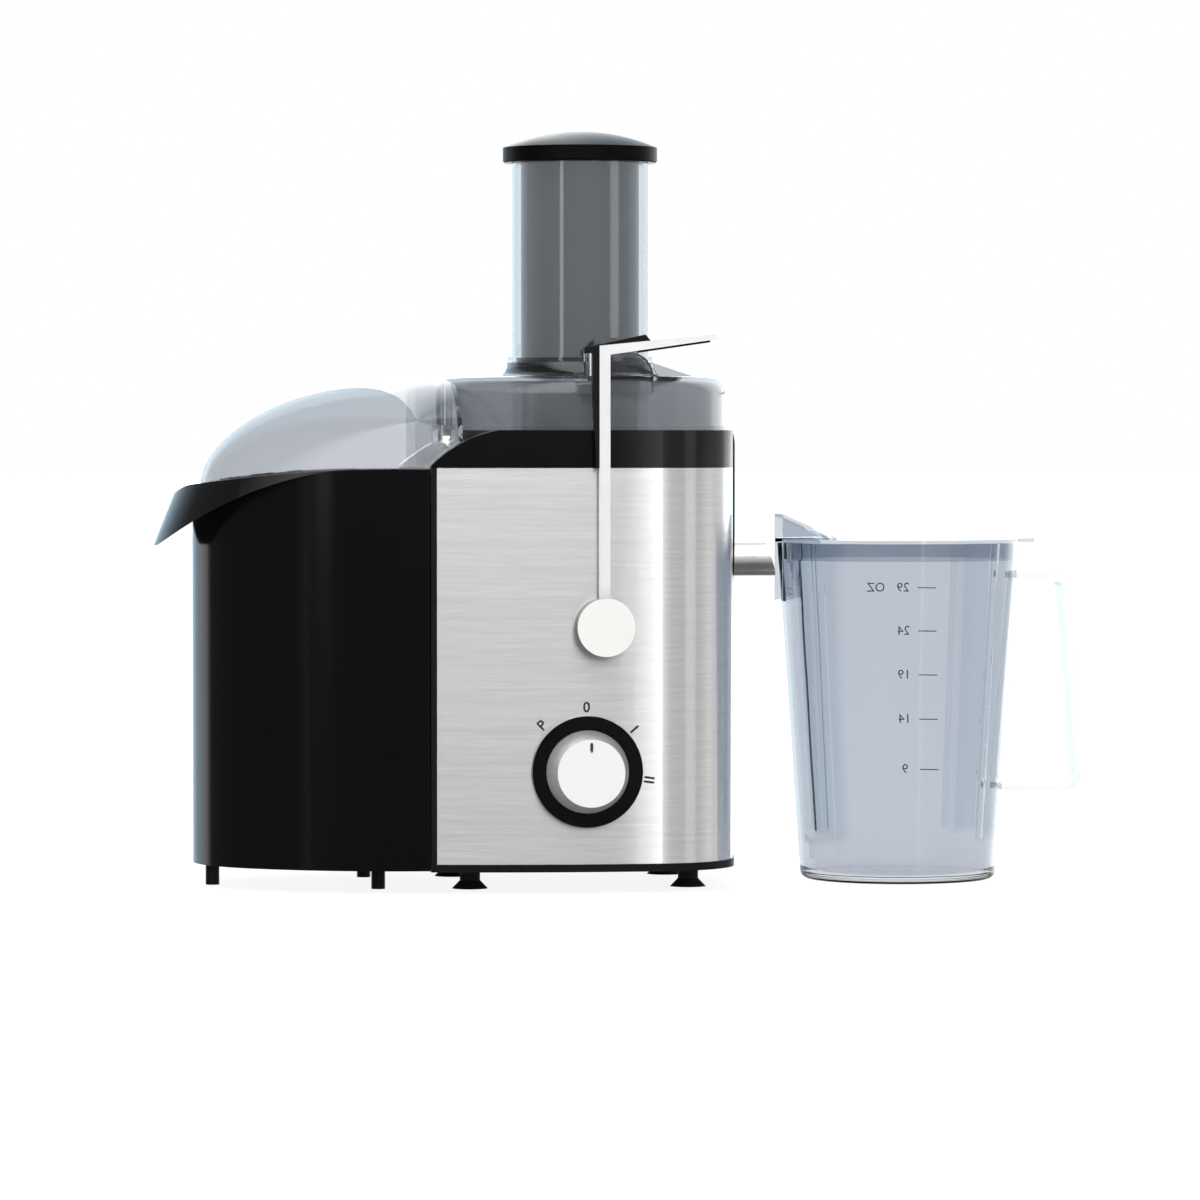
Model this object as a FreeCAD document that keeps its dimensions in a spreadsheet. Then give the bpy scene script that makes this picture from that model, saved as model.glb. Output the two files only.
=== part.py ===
import FreeCAD, Part
import math
import os
import Sketcher

# Centrifugal juicer. Millimetres, +Z up, table at z = 0.
# Lengths below are drawn about the motor's upright axis; machine_x moves that axis in the part's
# frame, whose origin is the middle of the footprint. +X is the spout side, -Y the knob side.

SIZES = {
    # stance
    "machine_x": -22.0,
    "foot_height": 11.4,
    "plate_thick": 4.0,
    "plate_overhang": 0.8,
    # base outline, seen from above
    "body_height": 204.0,
    "body_half_width": 92.0,
    "end_x": 78.0,
    "seam_x": 85.0,
    "flange_depth": 3.0,
    "side_centre_x": 8.0,
    "side_radius": 544.0,
    "end_radius": 320.0,
    "corner_radius": 45.0,
    # shells of the base
    "wrap_thick": 0.8,
    "skin_gap": 0.1,
    "fit_gap": 0.1,
    "seat_gap": 0.3,
    "inner_reach": 50.0,
    "housing_wall": 2.6,
    "deck_share": 0.65,
    "deck_thick": 3.0,
    "collar_height": 19.5,
    "ramp_length": 34.6,
    "ramp_radius": 65.0,
    "ramp_end_height": 1.2,
    # suction cups and screws
    "cup_radius": 9.4,
    "cup_stem_radius": 5.3,
    "cup_flare_height": 4.2,
    "cup_hollow": 1.6,
    "cup_left_x": 63.6,
    "cup_right_x": 51.4,
    "cup_side_y": 43.5,
    "screw_left_x": 60.0,
    "screw_right_x": 45.0,
    "screw_inset": 4.2,
    "screw_radius": 1.6,
    "screw_head_radius": 3.4,
    "screw_head_height": 2.2,
    "screw_length": 14.0,
    "boss_radius": 4.8,
    "boss_height": 26.0,
    "vent_count": 7.0,
    "vent_pitch": 9.0,
    "vent_width": 3.6,
    "vent_length": 26.0,
    "vent_gap": 12.0,
    # juice bowl
    "bowl_radius": 69.0,
    "bowl_wall": 2.0,
    "bowl_lift": 7.0,
    "bowl_slope": 4.0,
    "bowl_flange_radius": 73.6,
    "bowl_flange_thick": 2.4,
    "bowl_tube_radius": 18.0,
    "bowl_tube_height": 28.0,
    "bowl_rib_radius": 42.0,
    "bowl_gap": 1.0,
    "spigot_radius": 15.0,
    "spigot_height": 6.0,
    # spout
    "spout_lift": 13.7,
    "spout_radius": 10.15,
    "spout_bore": 8.2,
    "spout_end_top": 97.5,
    "spout_end_bottom": 104.5,
    "outlet_bore": 6.2,
    "outlet_end": 92.0,
    "slot_side_gap": 1.2,
    "shield_gap": 0.3,
    "shield_thick": 2.6,
    "shield_half_width": 13.0,
    "shield_drop": 21.5,
    "shield_point": 26.0,
    "shield_plug": 3.8,
    # lid and chute
    "lid_radius": 77.2,
    "lid_wall": 2.2,
    "lid_height": 28.0,
    "lid_corner": 9.0,
    "lid_rim_width": 1.4,
    "lid_rim_height": 2.2,
    "lid_neck_width": 8.0,
    "lid_neck_height": 8.0,
    "pulp_window_x": 40.0,
    "pulp_window_half": 21.0,
    "pulp_window_sill": 2.6,
    "pulp_window_height": 19.0,
    "gusset_reach": 62.0,
    "chute_radius": 36.2,
    "chute_wall": 2.2,
    "chute_top_rise": 140.8,
    "chute_drop": 32.0,
    "chute_ring_radius": 38.6,
    "ear_start_x": 5.0,
    "ear_length": 23.0,
    "ear_height": 12.0,
    "ear_inner_y": 66.0,
    "ear_outer_y": 79.4,
    "ledge_length": 12.0,
    "ledge_reach": 7.0,
    "ledge_thick": 6.0,
    "ledge_drop": 3.0,
    # pulp hood
    "hood_centre_x": 77.0,
    "hood_half_length": 124.4,
    "hood_half_width": 80.4,
    "hood_rise": 60.0,
    "hood_base_drop": 11.4,
    "hood_wall": 2.2,
    "hood_skirt": 4.0,
    "hood_gap": 0.3,
    "throat_reach": 90.0,
    "hood_end": 70.0,
    # pusher
    "pusher_radius": 31.3,
    "pusher_wall": 2.2,
    "pusher_end_gap": 3.0,
    "pusher_foot_height": 10.0,
    "pusher_cap_radius": 40.8,
    "pusher_band_height": 8.0,
    "pusher_dome_height": 8.6,
    "ring_height": 10.0,
    "ring_gap": 0.4,
    # pulp container
    "tub_length": 116.7,
    "tub_half_width": 84.0,
    "tub_wall": 2.5,
    "tub_gap": 0.5,
    "tub_drop": 0.6,
    "tub_floor": 12.0,
    "tub_end_radius": 66.0,
    "tub_wall_drop": 16.0,
    "rim_apex_x": 110.0,
    "rim_radius": 590.0,
    "lip_reach": 20.3,
    "lip_top_reach": 4.3,
    "lip_bend": 2.3,
    "lip_round": 10.0,
    "lip_round_across": 7.6,
    "lip_round_drop": 6.2,
    "lip_curve": 170.0,
    "lip_drop": 40.0,
    "lip_side_reach": 5.0,
    "lip_wall": 2.6,
    "lip_start": 48.0,
    "lip_blunt": 1.0,
    "post_radius": 3.65,
    "post_near_x": 111.4,
    "post_side_y": 41.0,
    "post_left_x": 195.0,
    # locking bail
    "pivot_drop": 10.3,
    "pivot_disc_radius": 15.0,
    "pivot_disc_face": 106.0,
    "pivot_disc_back": 92.8,
    "pivot_pin_radius": 6.0,
    "pivot_shoulder_radius": 8.0,
    "pivot_clearance": 0.06,
    "pivot_disc_wall": 2.5,
    "pivot_head_radius": 10.0,
    "pivot_head_thick": 3.0,
    "arm_width": 5.6,
    "arm_tail": 4.3,
    "arm_thick": 3.6,
    "arm_inner_y": 96.2,
    "arm_over": 15.3,
    "arm_top_thick": 4.6,
    "arm_rise": 8.0,
    "grip_gap": 3.8,
    "grip_width": 18.0,
    "grip_thick": 2.6,
    "grip_pad_start": 17.0,
    "grip_pad_end": 3.5,
    "grip_pad_thick": 1.1,
    "clamp_length": 3.5,
    "clamp_height": 10.0,
    "clamp_gap": 0.3,
    "clamp_inner_y": 94.0,
    "clamp_drop": 1.2,
    "clamp_lift": 0.6,
    "clamp_hook": 4.4,
    "clamp_hook_thick": 2.7,
    "clamp_fin_low": 47.1,
    "clamp_fin_thick": 1.8,
    "clamp_rest_length": 21.0,
    "clamp_rest_end": 2.7,
    "clamp_rest_height": 3.4,
    "clamp_pad_radius": 2.0,
    "clamp_pad_height": 11.6,
    # knob
    "knob_x": 8.5,
    "knob_rise": 51.9,
    "bezel_radius": 28.7,
    "bezel_bore": 22.0,
    "bezel_depth": 4.6,
    "bezel_neck_radius": 24.0,
    "bezel_sink": 8.0,
    "bezel_floor_thick": 2.0,
    "knob_radius": 21.4,
    "knob_face_radius": 17.4,
    "knob_depth": 15.0,
    "knob_lift": 1.0,
    "knob_cap_thick": 1.8,
    "pointer_width": 2.1,
    "pointer_length": 5.4,
    "pointer_lift": 0.4,
    "spindle_radius": 3.0,
    "spindle_grip": 12.0,
    "switch_size": 26.0,
    "switch_depth": 16.0,
    # motor
    "shaft_radius": 4.0,
    "shaft_clearance": 0.05,
    "shaft_bottom_rise": 16.0,
    "stack_rise": 64.0,
    "stack_height": 40.0,
    "stack_length": 84.0,
    "stack_width": 70.0,
    "armature_radius": 21.6,
    "air_gap": 0.6,
    "armature_slots": 12.0,
    "slot_depth": 7.0,
    "slot_width": 2.4,
    "stack_corner": 4.0,
    "slot_inner_x": 16.9,
    "slot_half_y": 24.2,
    "winding_height": 8.0,
    "winding_outer": 31.5,
    "winding_inner": 24.0,
    "commutator_radius": 11.0,
    "commutator_height": 12.0,
    "commutator_gap": 4.0,
    "bearing_radius": 11.0,
    "bearing_height": 7.0,
    "bracket_thick": 5.0,
    "bracket_leg_radius": 4.5,
    "low_bracket_drop": 31.0,
    "high_bracket_rise": 11.0,
    "window_y": 22.0,
    "window_half_x": 14.0,
    "window_half_y": 8.0,
    "mount_radius": 6.0,
    "mount_x": 24.0,
    "mount_y": 27.0,
    "bolt_radius": 2.0,
    "bolt_x": 37.0,
    "bolt_y": 30.0,
    "fan_radius": 36.0,
    "fan_height": 11.0,
    "fan_blades": 9.0,
    "fan_plate": 1.6,
    "fan_hub_radius": 9.0,
    "brush_width": 8.0,
    "brush_length": 20.0,
    "holder_gap": 3.0,
    "seal_radius": 12.0,
    "seal_height": 4.0,
    "seal_clearance": 0.08,
    # drive and basket
    "coupling_radius": 11.0,
    "coupling_height": 20.0,
    "coupling_lift": 5.0,
    "coupling_roof": 2.0,
    "coupling_splines": 8.0,
    "hub_wall": 3.2,
    "disc_lift": 38.4,
    "disc_thick": 1.6,
    "disc_radius": 46.5,
    "basket_foot_thick": 3.0,
    "basket_rim_radius": 65.4,
    "basket_cone_radius": 60.0,
    "basket_drop": 1.5,
    "basket_rim_height": 9.0,
    "basket_wall": 1.4,
    "basket_rib_width": 3.0,
    "basket_ribs": 8.0,
    "rib_depth": 2.0,
    "frame_lip": 1.0,
    "screen_wall": 0.8,
    "screen_rows": 3.0,
    "screen_slots": 30.0,
    "screen_slot_width": 1.2,
    "screen_slot_gap": 2.6,
    "tooth_length": 3.4,
    "tooth_height": 2.0,
    "tooth_rows": 10.0,
    "teeth_per_row": 6.0,
    "teeth_start": 8.0,
    "tooth_taper": 15.0,
    # inlet gland and safety switch
    "gland_x": 12.0,
    "gland_rise": 22.0,
    "gland_radius": 7.0,
    "gland_bore": 3.4,
    "gland_depth": 8.0,
    "gland_flange_radius": 9.5,
    "gland_flange_thick": 3.0,
    "safety_x": 22.0,
    "safety_length": 16.0,
    "safety_depth": 6.0,
    "safety_height": 10.0,
    "safety_lift": 14.0,
    "safety_stem_radius": 2.0,
    "safety_stem_height": 4.0,
    # jug
    "jug_x": 171.0,
    "jug_radius": 64.5,
    "jug_foot_radius": 52.0,
    "jug_height": 179.0,
    "jug_wall": 2.4,
    "jug_floor": 3.0,
    "jug_foot_curve": 4.0,
    "jug_foot_lift": 0.6,
    "jug_notch_half": 14.5,
    "jug_notch_drop": 31.0,
    "flute_radius": 11.0,
    "flute_depth": 1.1,
    "flute_low": 23.0,
    "flute_left_turn": 52.0,
    "flute_right_turn": 42.0,
    "handle_top_drop": 16.0,
    "handle_bottom_rise": 47.0,
    "handle_top_reach": 91.0,
    "handle_low_reach": 98.5,
    "handle_bar": 3.2,
    "handle_width": 18.0,
    "handle_corner": 9.0,
    # jug lid
    "jug_lid_gap": 0.3,
    "jug_lid_thick": 2.0,
    "jug_lid_overlap": 1.0,
    "jug_skirt_gap": 0.5,
    "jug_skirt_wall": 1.6,
    "jug_skirt_height": 9.0,
    "inlet_start": 64.3,
    "inlet_half": 13.5,
    "inlet_wall": 1.5,
    "inlet_length": 30.0,
    "inlet_height": 13.0,
    "inlet_cheek_length": 10.0,
    "inlet_cheek_drop": 31.0,
    "inlet_cheek_slant": 2.2,
    "lid_tab_length": 7.0,
    "lid_tab_width": 16.0,
}

doc = FreeCAD.newDocument("CentrifugalJuicer")
sheet = doc.addObject("Spreadsheet::Sheet", "Sizes")
for row, (alias, number) in enumerate(SIZES.items(), 1):
    sheet.set("A%d" % row, alias)
    sheet.set("B%d" % row, str(number))
    sheet.setAlias("B%d" % row, alias)
doc.recompute()


class Size:
    """A length that knows its present value and the spreadsheet expression that gives it."""

    def __init__(self, value, text):
        self.value = float(value)
        self.text = text

    def __add__(self, other):
        other = as_size(other)
        return Size(self.value + other.value, "(%s + %s)" % (self.text, other.text))

    def __sub__(self, other):
        other = as_size(other)
        return Size(self.value - other.value, "(%s - %s)" % (self.text, other.text))

    def __mul__(self, other):
        other = as_size(other)
        return Size(self.value * other.value, "(%s * %s)" % (self.text, other.text))

    def __truediv__(self, other):
        other = as_size(other)
        return Size(self.value / other.value, "(%s / %s)" % (self.text, other.text))

    def __radd__(self, other):
        return as_size(other) + self

    def __rsub__(self, other):
        return as_size(other) - self

    def __rmul__(self, other):
        return as_size(other) * self

    def __neg__(self):
        return Size(-self.value, "(0 - %s)" % self.text)


def as_size(amount):
    if isinstance(amount, Size):
        return amount
    return Size(amount, "(%r)" % float(amount))


def root(amount):
    return Size(math.sqrt(amount.value), "sqrt(%s)" % amount.text)


def cosine(degrees):
    degrees = as_size(degrees)
    return Size(math.cos(math.radians(degrees.value)), "cos(%s)" % degrees.text)


def sine(degrees):
    degrees = as_size(degrees)
    return Size(math.sin(math.radians(degrees.value)), "sin(%s)" % degrees.text)


class Cells:
    """The sheet's numbers as Size values, one attribute for each alias."""

    def __init__(self):
        for alias in SIZES:
            setattr(self, alias, Size(sheet.get(alias), "Sizes." + alias))


s = Cells()
nodes = []


def bind(thing, path, amount):
    """Set a property to a Size by expression, or to a plain number."""
    if isinstance(amount, Size):
        thing.setExpression(path, amount.text)
    elif amount:
        thing.setExpression(path, "%r" % float(amount))


def node(thing, label, x=0):
    """Name a finished sub-part and stand it x along from the machine's axis."""
    thing.Label = label
    bind(thing, "Placement.Base.x", s.machine_x + x)
    nodes.append(thing)
    return thing


# --- sketches and PartDesign features ---

def new_body(label):
    return node(doc.addObject("PartDesign::Body", label), label)


def new_sketch(body, plane, offset=0):
    """A sketch on one of the body's own origin planes, moved along that plane's normal."""
    sketch = body.newObject("Sketcher::SketchObject", "outline")
    for feature in body.Origin.OriginFeatures:
        if feature.Role == plane + "_Plane":
            sketch.AttachmentSupport = [(feature, "")]
    sketch.MapMode = "FlatFace"
    bind(sketch, "AttachmentOffset.Base.z", offset)
    return sketch


def pin_point(sketch, rules, bound, geometry, end, x, y):
    """Hold one point at (x, y) from the sketch's origin."""
    for kind, axis, amount in (("DistanceX", -2, x), ("DistanceY", -1, y)):
        amount = as_size(amount)
        if abs(amount.value) < 1e-9:
            rules.append(Sketcher.Constraint("PointOnObject", geometry, end, axis))
        else:
            bound.append((len(rules), amount))
            rules.append(Sketcher.Constraint(kind, -1, 1, geometry, end, amount.value))


def apply_rules(sketch, rules, bound):
    sketch.addConstraint(rules)
    for number, amount in bound:
        sketch.setExpression("Constraints[%d]" % number, amount.text)


def draw(sketch, points):
    """A closed outline. A third entry in a point is the radius of the arc that leads on from it:
    above 0 the arc turns left, below 0 it turns right."""
    first = sketch.GeometryCount
    base = sketch.ConstraintCount
    rules = []
    bound = []
    starts = []
    ends = []
    for number, point in enumerate(points):
        after = points[(number + 1) % len(points)]
        here = FreeCAD.Vector(as_size(point[0]).value, as_size(point[1]).value, 0)
        there = FreeCAD.Vector(as_size(after[0]).value, as_size(after[1]).value, 0)
        geometry = first + number
        if len(point) == 2:
            sketch.addGeometry(Part.LineSegment(here, there))
            starts.append((geometry, 1))
            ends.append((geometry, 2))
            continue
        radius = as_size(point[2])
        chord = there - here
        half = chord.Length / 2
        left = FreeCAD.Vector(-chord.y, chord.x, 0).normalize()
        turn = 1 if radius.value > 0 else -1
        size = abs(radius.value)
        rise = size - math.sqrt(max(size * size - half * half, 0))
        middle = (here + there) * 0.5 - left * (turn * rise)
        if turn > 0:
            sketch.addGeometry(Part.Arc(here, middle, there))
            starts.append((geometry, 1))
            ends.append((geometry, 2))
        else:
            sketch.addGeometry(Part.Arc(there, middle, here))
            starts.append((geometry, 2))
            ends.append((geometry, 1))
    for number, point in enumerate(points):
        pin_point(sketch, rules, bound, starts[number][0], starts[number][1], point[0], point[1])
        onward = starts[(number + 1) % len(points)]
        rules.append(Sketcher.Constraint("Coincident", *ends[number], *onward))
        if len(point) == 3:
            radius = as_size(point[2])
            amount = radius if radius.value > 0 else -radius
            bound.append((len(rules), amount))
            rules.append(Sketcher.Constraint("Radius", first + number, amount.value))
    apply_rules(sketch, rules, [(base + number, amount) for number, amount in bound])
    return sketch


def draw_circle(sketch, x, y, radius):
    geometry = sketch.GeometryCount
    base = sketch.ConstraintCount
    radius = as_size(radius)
    centre = FreeCAD.Vector(as_size(x).value, as_size(y).value, 0)
    sketch.addGeometry(Part.Circle(centre, FreeCAD.Vector(0, 0, 1), radius.value))
    rules = []
    bound = []
    pin_point(sketch, rules, bound, geometry, 3, x, y)
    bound.append((len(rules), radius))
    rules.append(Sketcher.Constraint("Radius", geometry, radius.value))
    apply_rules(sketch, rules, [(base + number, amount) for number, amount in bound])
    return sketch


def draw_box(sketch, low_x, low_y, high_x, high_y):
    return draw(sketch, [(low_x, low_y), (high_x, low_y), (high_x, high_y), (low_x, high_y)])


def feature(body, kind, sketch):
    made = body.newObject("PartDesign::" + kind, kind.lower())
    made.Profile = sketch
    sketch.Visibility = False
    return made


def pad(body, sketch, length, symmetric=False, back=False):
    made = feature(body, "Pad", sketch)
    bind(made, "Length", as_size(length))
    made.SideType = "Symmetric" if symmetric else "One side"
    made.Reversed = back
    return made


def pocket(body, sketch, length=None, symmetric=False, back=False):
    """Cut a sketch away. With no length it goes through everything on its side or both."""
    made = feature(body, "Pocket", sketch)
    made.SideType = "Symmetric" if symmetric else "One side"
    made.Reversed = back
    if length is None:
        made.Type = "ThroughAll"
    else:
        bind(made, "Length", as_size(length))
    return made


def turn_about(body, sketch, kind="Revolution", axis="V_Axis"):
    made = feature(body, kind, sketch)
    made.ReferenceAxis = (sketch, [axis])
    made.Angle = 360
    return made


def turned(label, points):
    """A sub-part of one revolved outline, given as radius and height about the upright axis."""
    body = new_body(label)
    turn_about(body, draw(new_sketch(body, "XZ"), points))
    return body


# --- Part primitives and booleans ---

TURNS = {
    "z": FreeCAD.Rotation(),
    "x": FreeCAD.Rotation(FreeCAD.Vector(0, 1, 0), 90),
    "-y": FreeCAD.Rotation(FreeCAD.Vector(1, 0, 0), 90),
    "y": FreeCAD.Rotation(FreeCAD.Vector(1, 0, 0), -90),
}


def place(thing, x, y, z):
    bind(thing, "Placement.Base.x", x)
    bind(thing, "Placement.Base.y", y)
    bind(thing, "Placement.Base.z", z)
    return thing


def box(low_x, low_y, low_z, length, width, height):
    made = doc.addObject("Part::Box", "block")
    bind(made, "Length", as_size(length))
    bind(made, "Width", as_size(width))
    bind(made, "Height", as_size(height))
    return place(made, low_x, low_y, low_z)


def cylinder(radius, height, x=0, y=0, z=0, along="z"):
    made = doc.addObject("Part::Cylinder", "round")
    bind(made, "Radius", as_size(radius))
    bind(made, "Height", as_size(height))
    made.Placement.Rotation = TURNS[along]
    return place(made, x, y, z)


def cone(low_radius, high_radius, height, x=0, y=0, z=0, along="z"):
    made = doc.addObject("Part::Cone", "taper")
    bind(made, "Radius1", as_size(low_radius))
    bind(made, "Radius2", as_size(high_radius))
    bind(made, "Height", as_size(height))
    made.Placement.Rotation = TURNS[along]
    return place(made, x, y, z)


def fuse(*parts):
    if len(parts) == 1:
        return parts[0]
    made = doc.addObject("Part::MultiFuse", "joined")
    made.Shapes = list(parts)
    return made


def cut(base, *tools):
    made = doc.addObject("Part::Cut", "trimmed")
    made.Base = base
    made.Tool = fuse(*tools)
    return made


def common(*parts):
    made = doc.addObject("Part::MultiCommon", "shared")
    made.Shapes = list(parts)
    return made


def plate_of(plane, points, low, thick):
    """A plain extruded outline for use in booleans."""
    body = doc.addObject("PartDesign::Body", "slab")
    pad(body, draw(new_sketch(body, plane, low), points), thick)
    return body


# --- places that several sub-parts share ---

plate_top = s.foot_height + s.plate_thick
body_top = plate_top + s.body_height
collar_top = body_top + s.collar_height
deck_bottom = plate_top + s.body_height * s.deck_share
deck_top = deck_bottom + s.deck_thick
bowl_floor = deck_top + s.bowl_lift
lid_top = collar_top + s.lid_height
pivot_z = deck_bottom - s.pivot_drop
spout_z = bowl_floor + s.spout_lift
knob_z = s.foot_height + s.knob_rise
disc_z = bowl_floor + s.disc_lift
stack_z = s.foot_height + s.stack_rise
stack_top = stack_z + s.stack_height
chute_top = collar_top + s.chute_top_rise
housing_inset = s.wrap_thick + s.skin_gap
housing_left = s.seam_x + s.flange_depth


def outline_y(x, inset):
    """Half width of the base's outline at a place on its long side arcs."""
    radius = s.side_radius - inset
    offset = x - s.side_centre_x
    return s.body_half_width - s.side_radius + root(radius * radius - offset * offset)


def draw_outline(sketch, left, inset):
    """The base seen from above: straight at the seam, two long side arcs, two corners and an end
    arc, each tangent to the next. left is how far the seam side lies from the motor's axis."""
    side = s.side_radius - inset
    corner = s.corner_radius - inset
    end = s.end_radius - inset
    side_y = s.side_radius - s.body_half_width
    end_cx = s.end_x - s.end_radius
    # the corner's centre, where the circles about the side's and the end's centres cross
    ax, ay, bx = s.side_centre_x.value, -side_y.value, end_cx.value
    ra = side.value - corner.value
    rb = end.value - corner.value
    span = math.hypot(ax - bx, ay)
    along = (rb * rb - ra * ra + span * span) / (2 * span)
    across = math.sqrt(rb * rb - along * along)
    ux, uy = (ax - bx) / span, ay / span
    cx, cy = bx + ux * along - uy * across, uy * along + ux * across
    seam_y = outline_y(-left, inset).value

    def towards(px, py, qx, qy, length):
        reach = math.hypot(qx - px, qy - py)
        return FreeCAD.Vector(px + (qx - px) * length / reach, py + (qy - py) * length / reach, 0)

    def flipped(point):
        return FreeCAD.Vector(point.x, -point.y, 0)

    seam = FreeCAD.Vector(-left.value, seam_y, 0)
    side_end = towards(ax, ay, cx, cy, side.value)
    corner_end = towards(bx, 0, cx, cy, end.value)
    side_mid = FreeCAD.Vector(ax, ay + side.value, 0)
    middle = (side_end + corner_end) * 0.5
    corner_mid = towards(cx, cy, middle.x, middle.y, corner.value)
    end_mid = FreeCAD.Vector(bx + end.value, 0, 0)
    arcs = [
        (flipped(seam), flipped(side_mid), flipped(side_end)),
        (flipped(side_end), flipped(corner_mid), flipped(corner_end)),
        (flipped(corner_end), end_mid, corner_end),
        (corner_end, corner_mid, side_end),
        (side_end, side_mid, seam),
    ]
    first = sketch.GeometryCount
    base = sketch.ConstraintCount
    for start, mid, stop in arcs:
        sketch.addGeometry(Part.Arc(start, mid, stop))
    sketch.addGeometry(Part.LineSegment(seam, flipped(seam)))
    rule = Sketcher.Constraint
    rules = [rule("Tangent", first + n, 2, first + n + 1, 1) for n in range(4)]
    rules.append(rule("Coincident", first + 4, 2, first + 5, 1))
    rules.append(rule("Coincident", first + 5, 2, first, 1))
    rules.append(rule("Vertical", first + 5))
    rules.append(rule("PointOnObject", first + 2, 3, -1))
    rules.append(rule("Equal", first, first + 4))
    rules.append(rule("Equal", first + 1, first + 3))
    bound = []

    def measure(kind, amount, *places):
        bound.append((base + len(rules), amount))
        rules.append(rule(kind, *places, amount.value))

    measure("Radius", side, first)
    measure("Radius", corner, first + 1)
    measure("Radius", end, first + 2)
    measure("DistanceX", end_cx, -1, 1, first + 2, 3)
    measure("DistanceX", s.side_centre_x, -1, 1, first, 3)
    measure("DistanceY", side_y, -1, 1, first, 3)
    measure("DistanceX", s.side_centre_x, -1, 1, first + 4, 3)
    measure("DistanceY", -side_y, -1, 1, first + 4, 3)
    measure("DistanceX", -left, -1, 1, first + 5, 1)
    apply_rules(sketch, rules, bound)
    return sketch


def through_near(body, x, z, radius):
    """A round hole in the near wall only."""
    sketch = draw_circle(new_sketch(body, "XZ", s.inner_reach), x, z, radius)
    return pocket(body, sketch, back=True)


def through_far(body, x, z, radius):
    """A round hole in the far wall only."""
    sketch = draw_circle(new_sketch(body, "XZ", -s.inner_reach), x, z, radius)
    return pocket(body, sketch)


def spout_slot(body, bottom=None):
    """The open-topped slot in the spout end, through which the bowl's outlet drops in."""
    half = s.spout_bore + s.slot_side_gap
    top = collar_top + s.slot_side_gap
    sketch = new_sketch(body, "YZ", s.inner_reach)
    low = spout_z if bottom is None else bottom
    if bottom is None:
        draw(sketch, [(half, top), (-half, top), (-half, low, half * 1.0001), (half, low)])
    else:
        draw_box(sketch, -half, low, half, top)
    return pocket(body, sketch, back=True)


def screw_places():
    for x in (-s.screw_left_x, s.screw_right_x):
        y = outline_y(x, housing_inset + s.housing_wall) - s.screw_inset
        if x.value > 0:
            y = y - s.screw_inset / 2
        for side in (-1, 1):
            yield x, side * y


# --- base ---

def make_base_housing():
    body = new_body("base_housing")
    skin = draw_outline(new_sketch(body, "XY", plate_top), housing_left, housing_inset)
    pad(body, skin, s.body_height)
    flange_y = outline_y(-s.seam_x, 0)
    flange = new_sketch(body, "XY", plate_top)
    draw_box(flange, -housing_left, -flange_y, -s.seam_x - s.skin_gap, flange_y)
    pad(body, flange, s.body_height)
    inner = housing_inset + s.housing_wall
    left = s.seam_x - s.housing_wall + s.flange_depth
    room = draw_outline(new_sketch(body, "XY", plate_top), left, inner)
    pocket(body, room, deck_bottom - plate_top, back=True)
    well = draw_outline(new_sketch(body, "XY", body_top), left, inner)
    pocket(body, well, body_top - deck_top)
    spigot = new_sketch(body, "XY", deck_top)
    draw_circle(spigot, 0, 0, s.spigot_radius)
    pad(body, spigot, s.spigot_height)
    bore = new_sketch(body, "XY", deck_top + s.spigot_height)
    draw_circle(bore, 0, 0, s.seal_radius)
    pocket(body, bore)
    for x, y in screw_places():
        pad(body, draw_circle(new_sketch(body, "XY", plate_top), x, y, s.boss_radius), s.boss_height)
    for x, y in screw_places():
        pilot = draw_circle(new_sketch(body, "XY", plate_top), x, y, s.screw_radius + s.fit_gap)
        pocket(body, pilot, s.screw_length, back=True)
    through_near(body, 0, pivot_z, s.pivot_shoulder_radius + s.skin_gap)
    through_far(body, 0, pivot_z, s.pivot_shoulder_radius + s.skin_gap)
    through_near(body, -s.knob_x, knob_z, s.bezel_neck_radius + s.skin_gap)
    through_far(body, s.gland_x, s.foot_height + s.gland_rise, s.gland_radius + s.skin_gap)
    spout_slot(body)


def make_steel_wrap():
    body = new_body("steel_wrap")
    pad(body, draw_outline(new_sketch(body, "XY", plate_top), s.seam_x, 0), s.body_height)
    room = draw_outline(new_sketch(body, "XY", plate_top), s.seam_x + 1, s.wrap_thick)
    pocket(body, room, s.body_height + 1, back=True)
    through_near(body, 0, pivot_z, s.pivot_shoulder_radius + s.skin_gap)
    through_far(body, 0, pivot_z, s.pivot_shoulder_radius + s.skin_gap)
    through_near(body, -s.knob_x, knob_z, s.bezel_neck_radius + s.skin_gap)
    through_far(body, s.gland_x, s.foot_height + s.gland_rise, s.gland_radius + s.skin_gap)
    spout_slot(body)


def make_base_plate():
    body = new_body("base_plate")
    rim = draw_outline(new_sketch(body, "XY", s.foot_height), housing_left, -s.plate_overhang)
    pad(body, rim, s.plate_thick)
    for x, y in screw_places():
        head = new_sketch(body, "XY", s.foot_height)
        pocket(body, draw_circle(head, x, y, s.screw_head_radius + s.skin_gap), s.screw_head_height,
               back=True)
        shank = draw_circle(new_sketch(body, "XY", s.foot_height), x, y, s.screw_radius + s.fit_gap)
        pocket(body, shank, back=True)
    vents = new_sketch(body, "XY", s.foot_height)
    for number in range(int(s.vent_count.value)):
        x = (number - (s.vent_count - 1) / 2) * s.vent_pitch
        for side in (-1, 1):
            low = s.vent_gap if side > 0 else -s.vent_gap - s.vent_length
            draw_box(vents, x - s.vent_width / 2, low, x + s.vent_width / 2, low + s.vent_length)
    pocket(body, vents, back=True)


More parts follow.
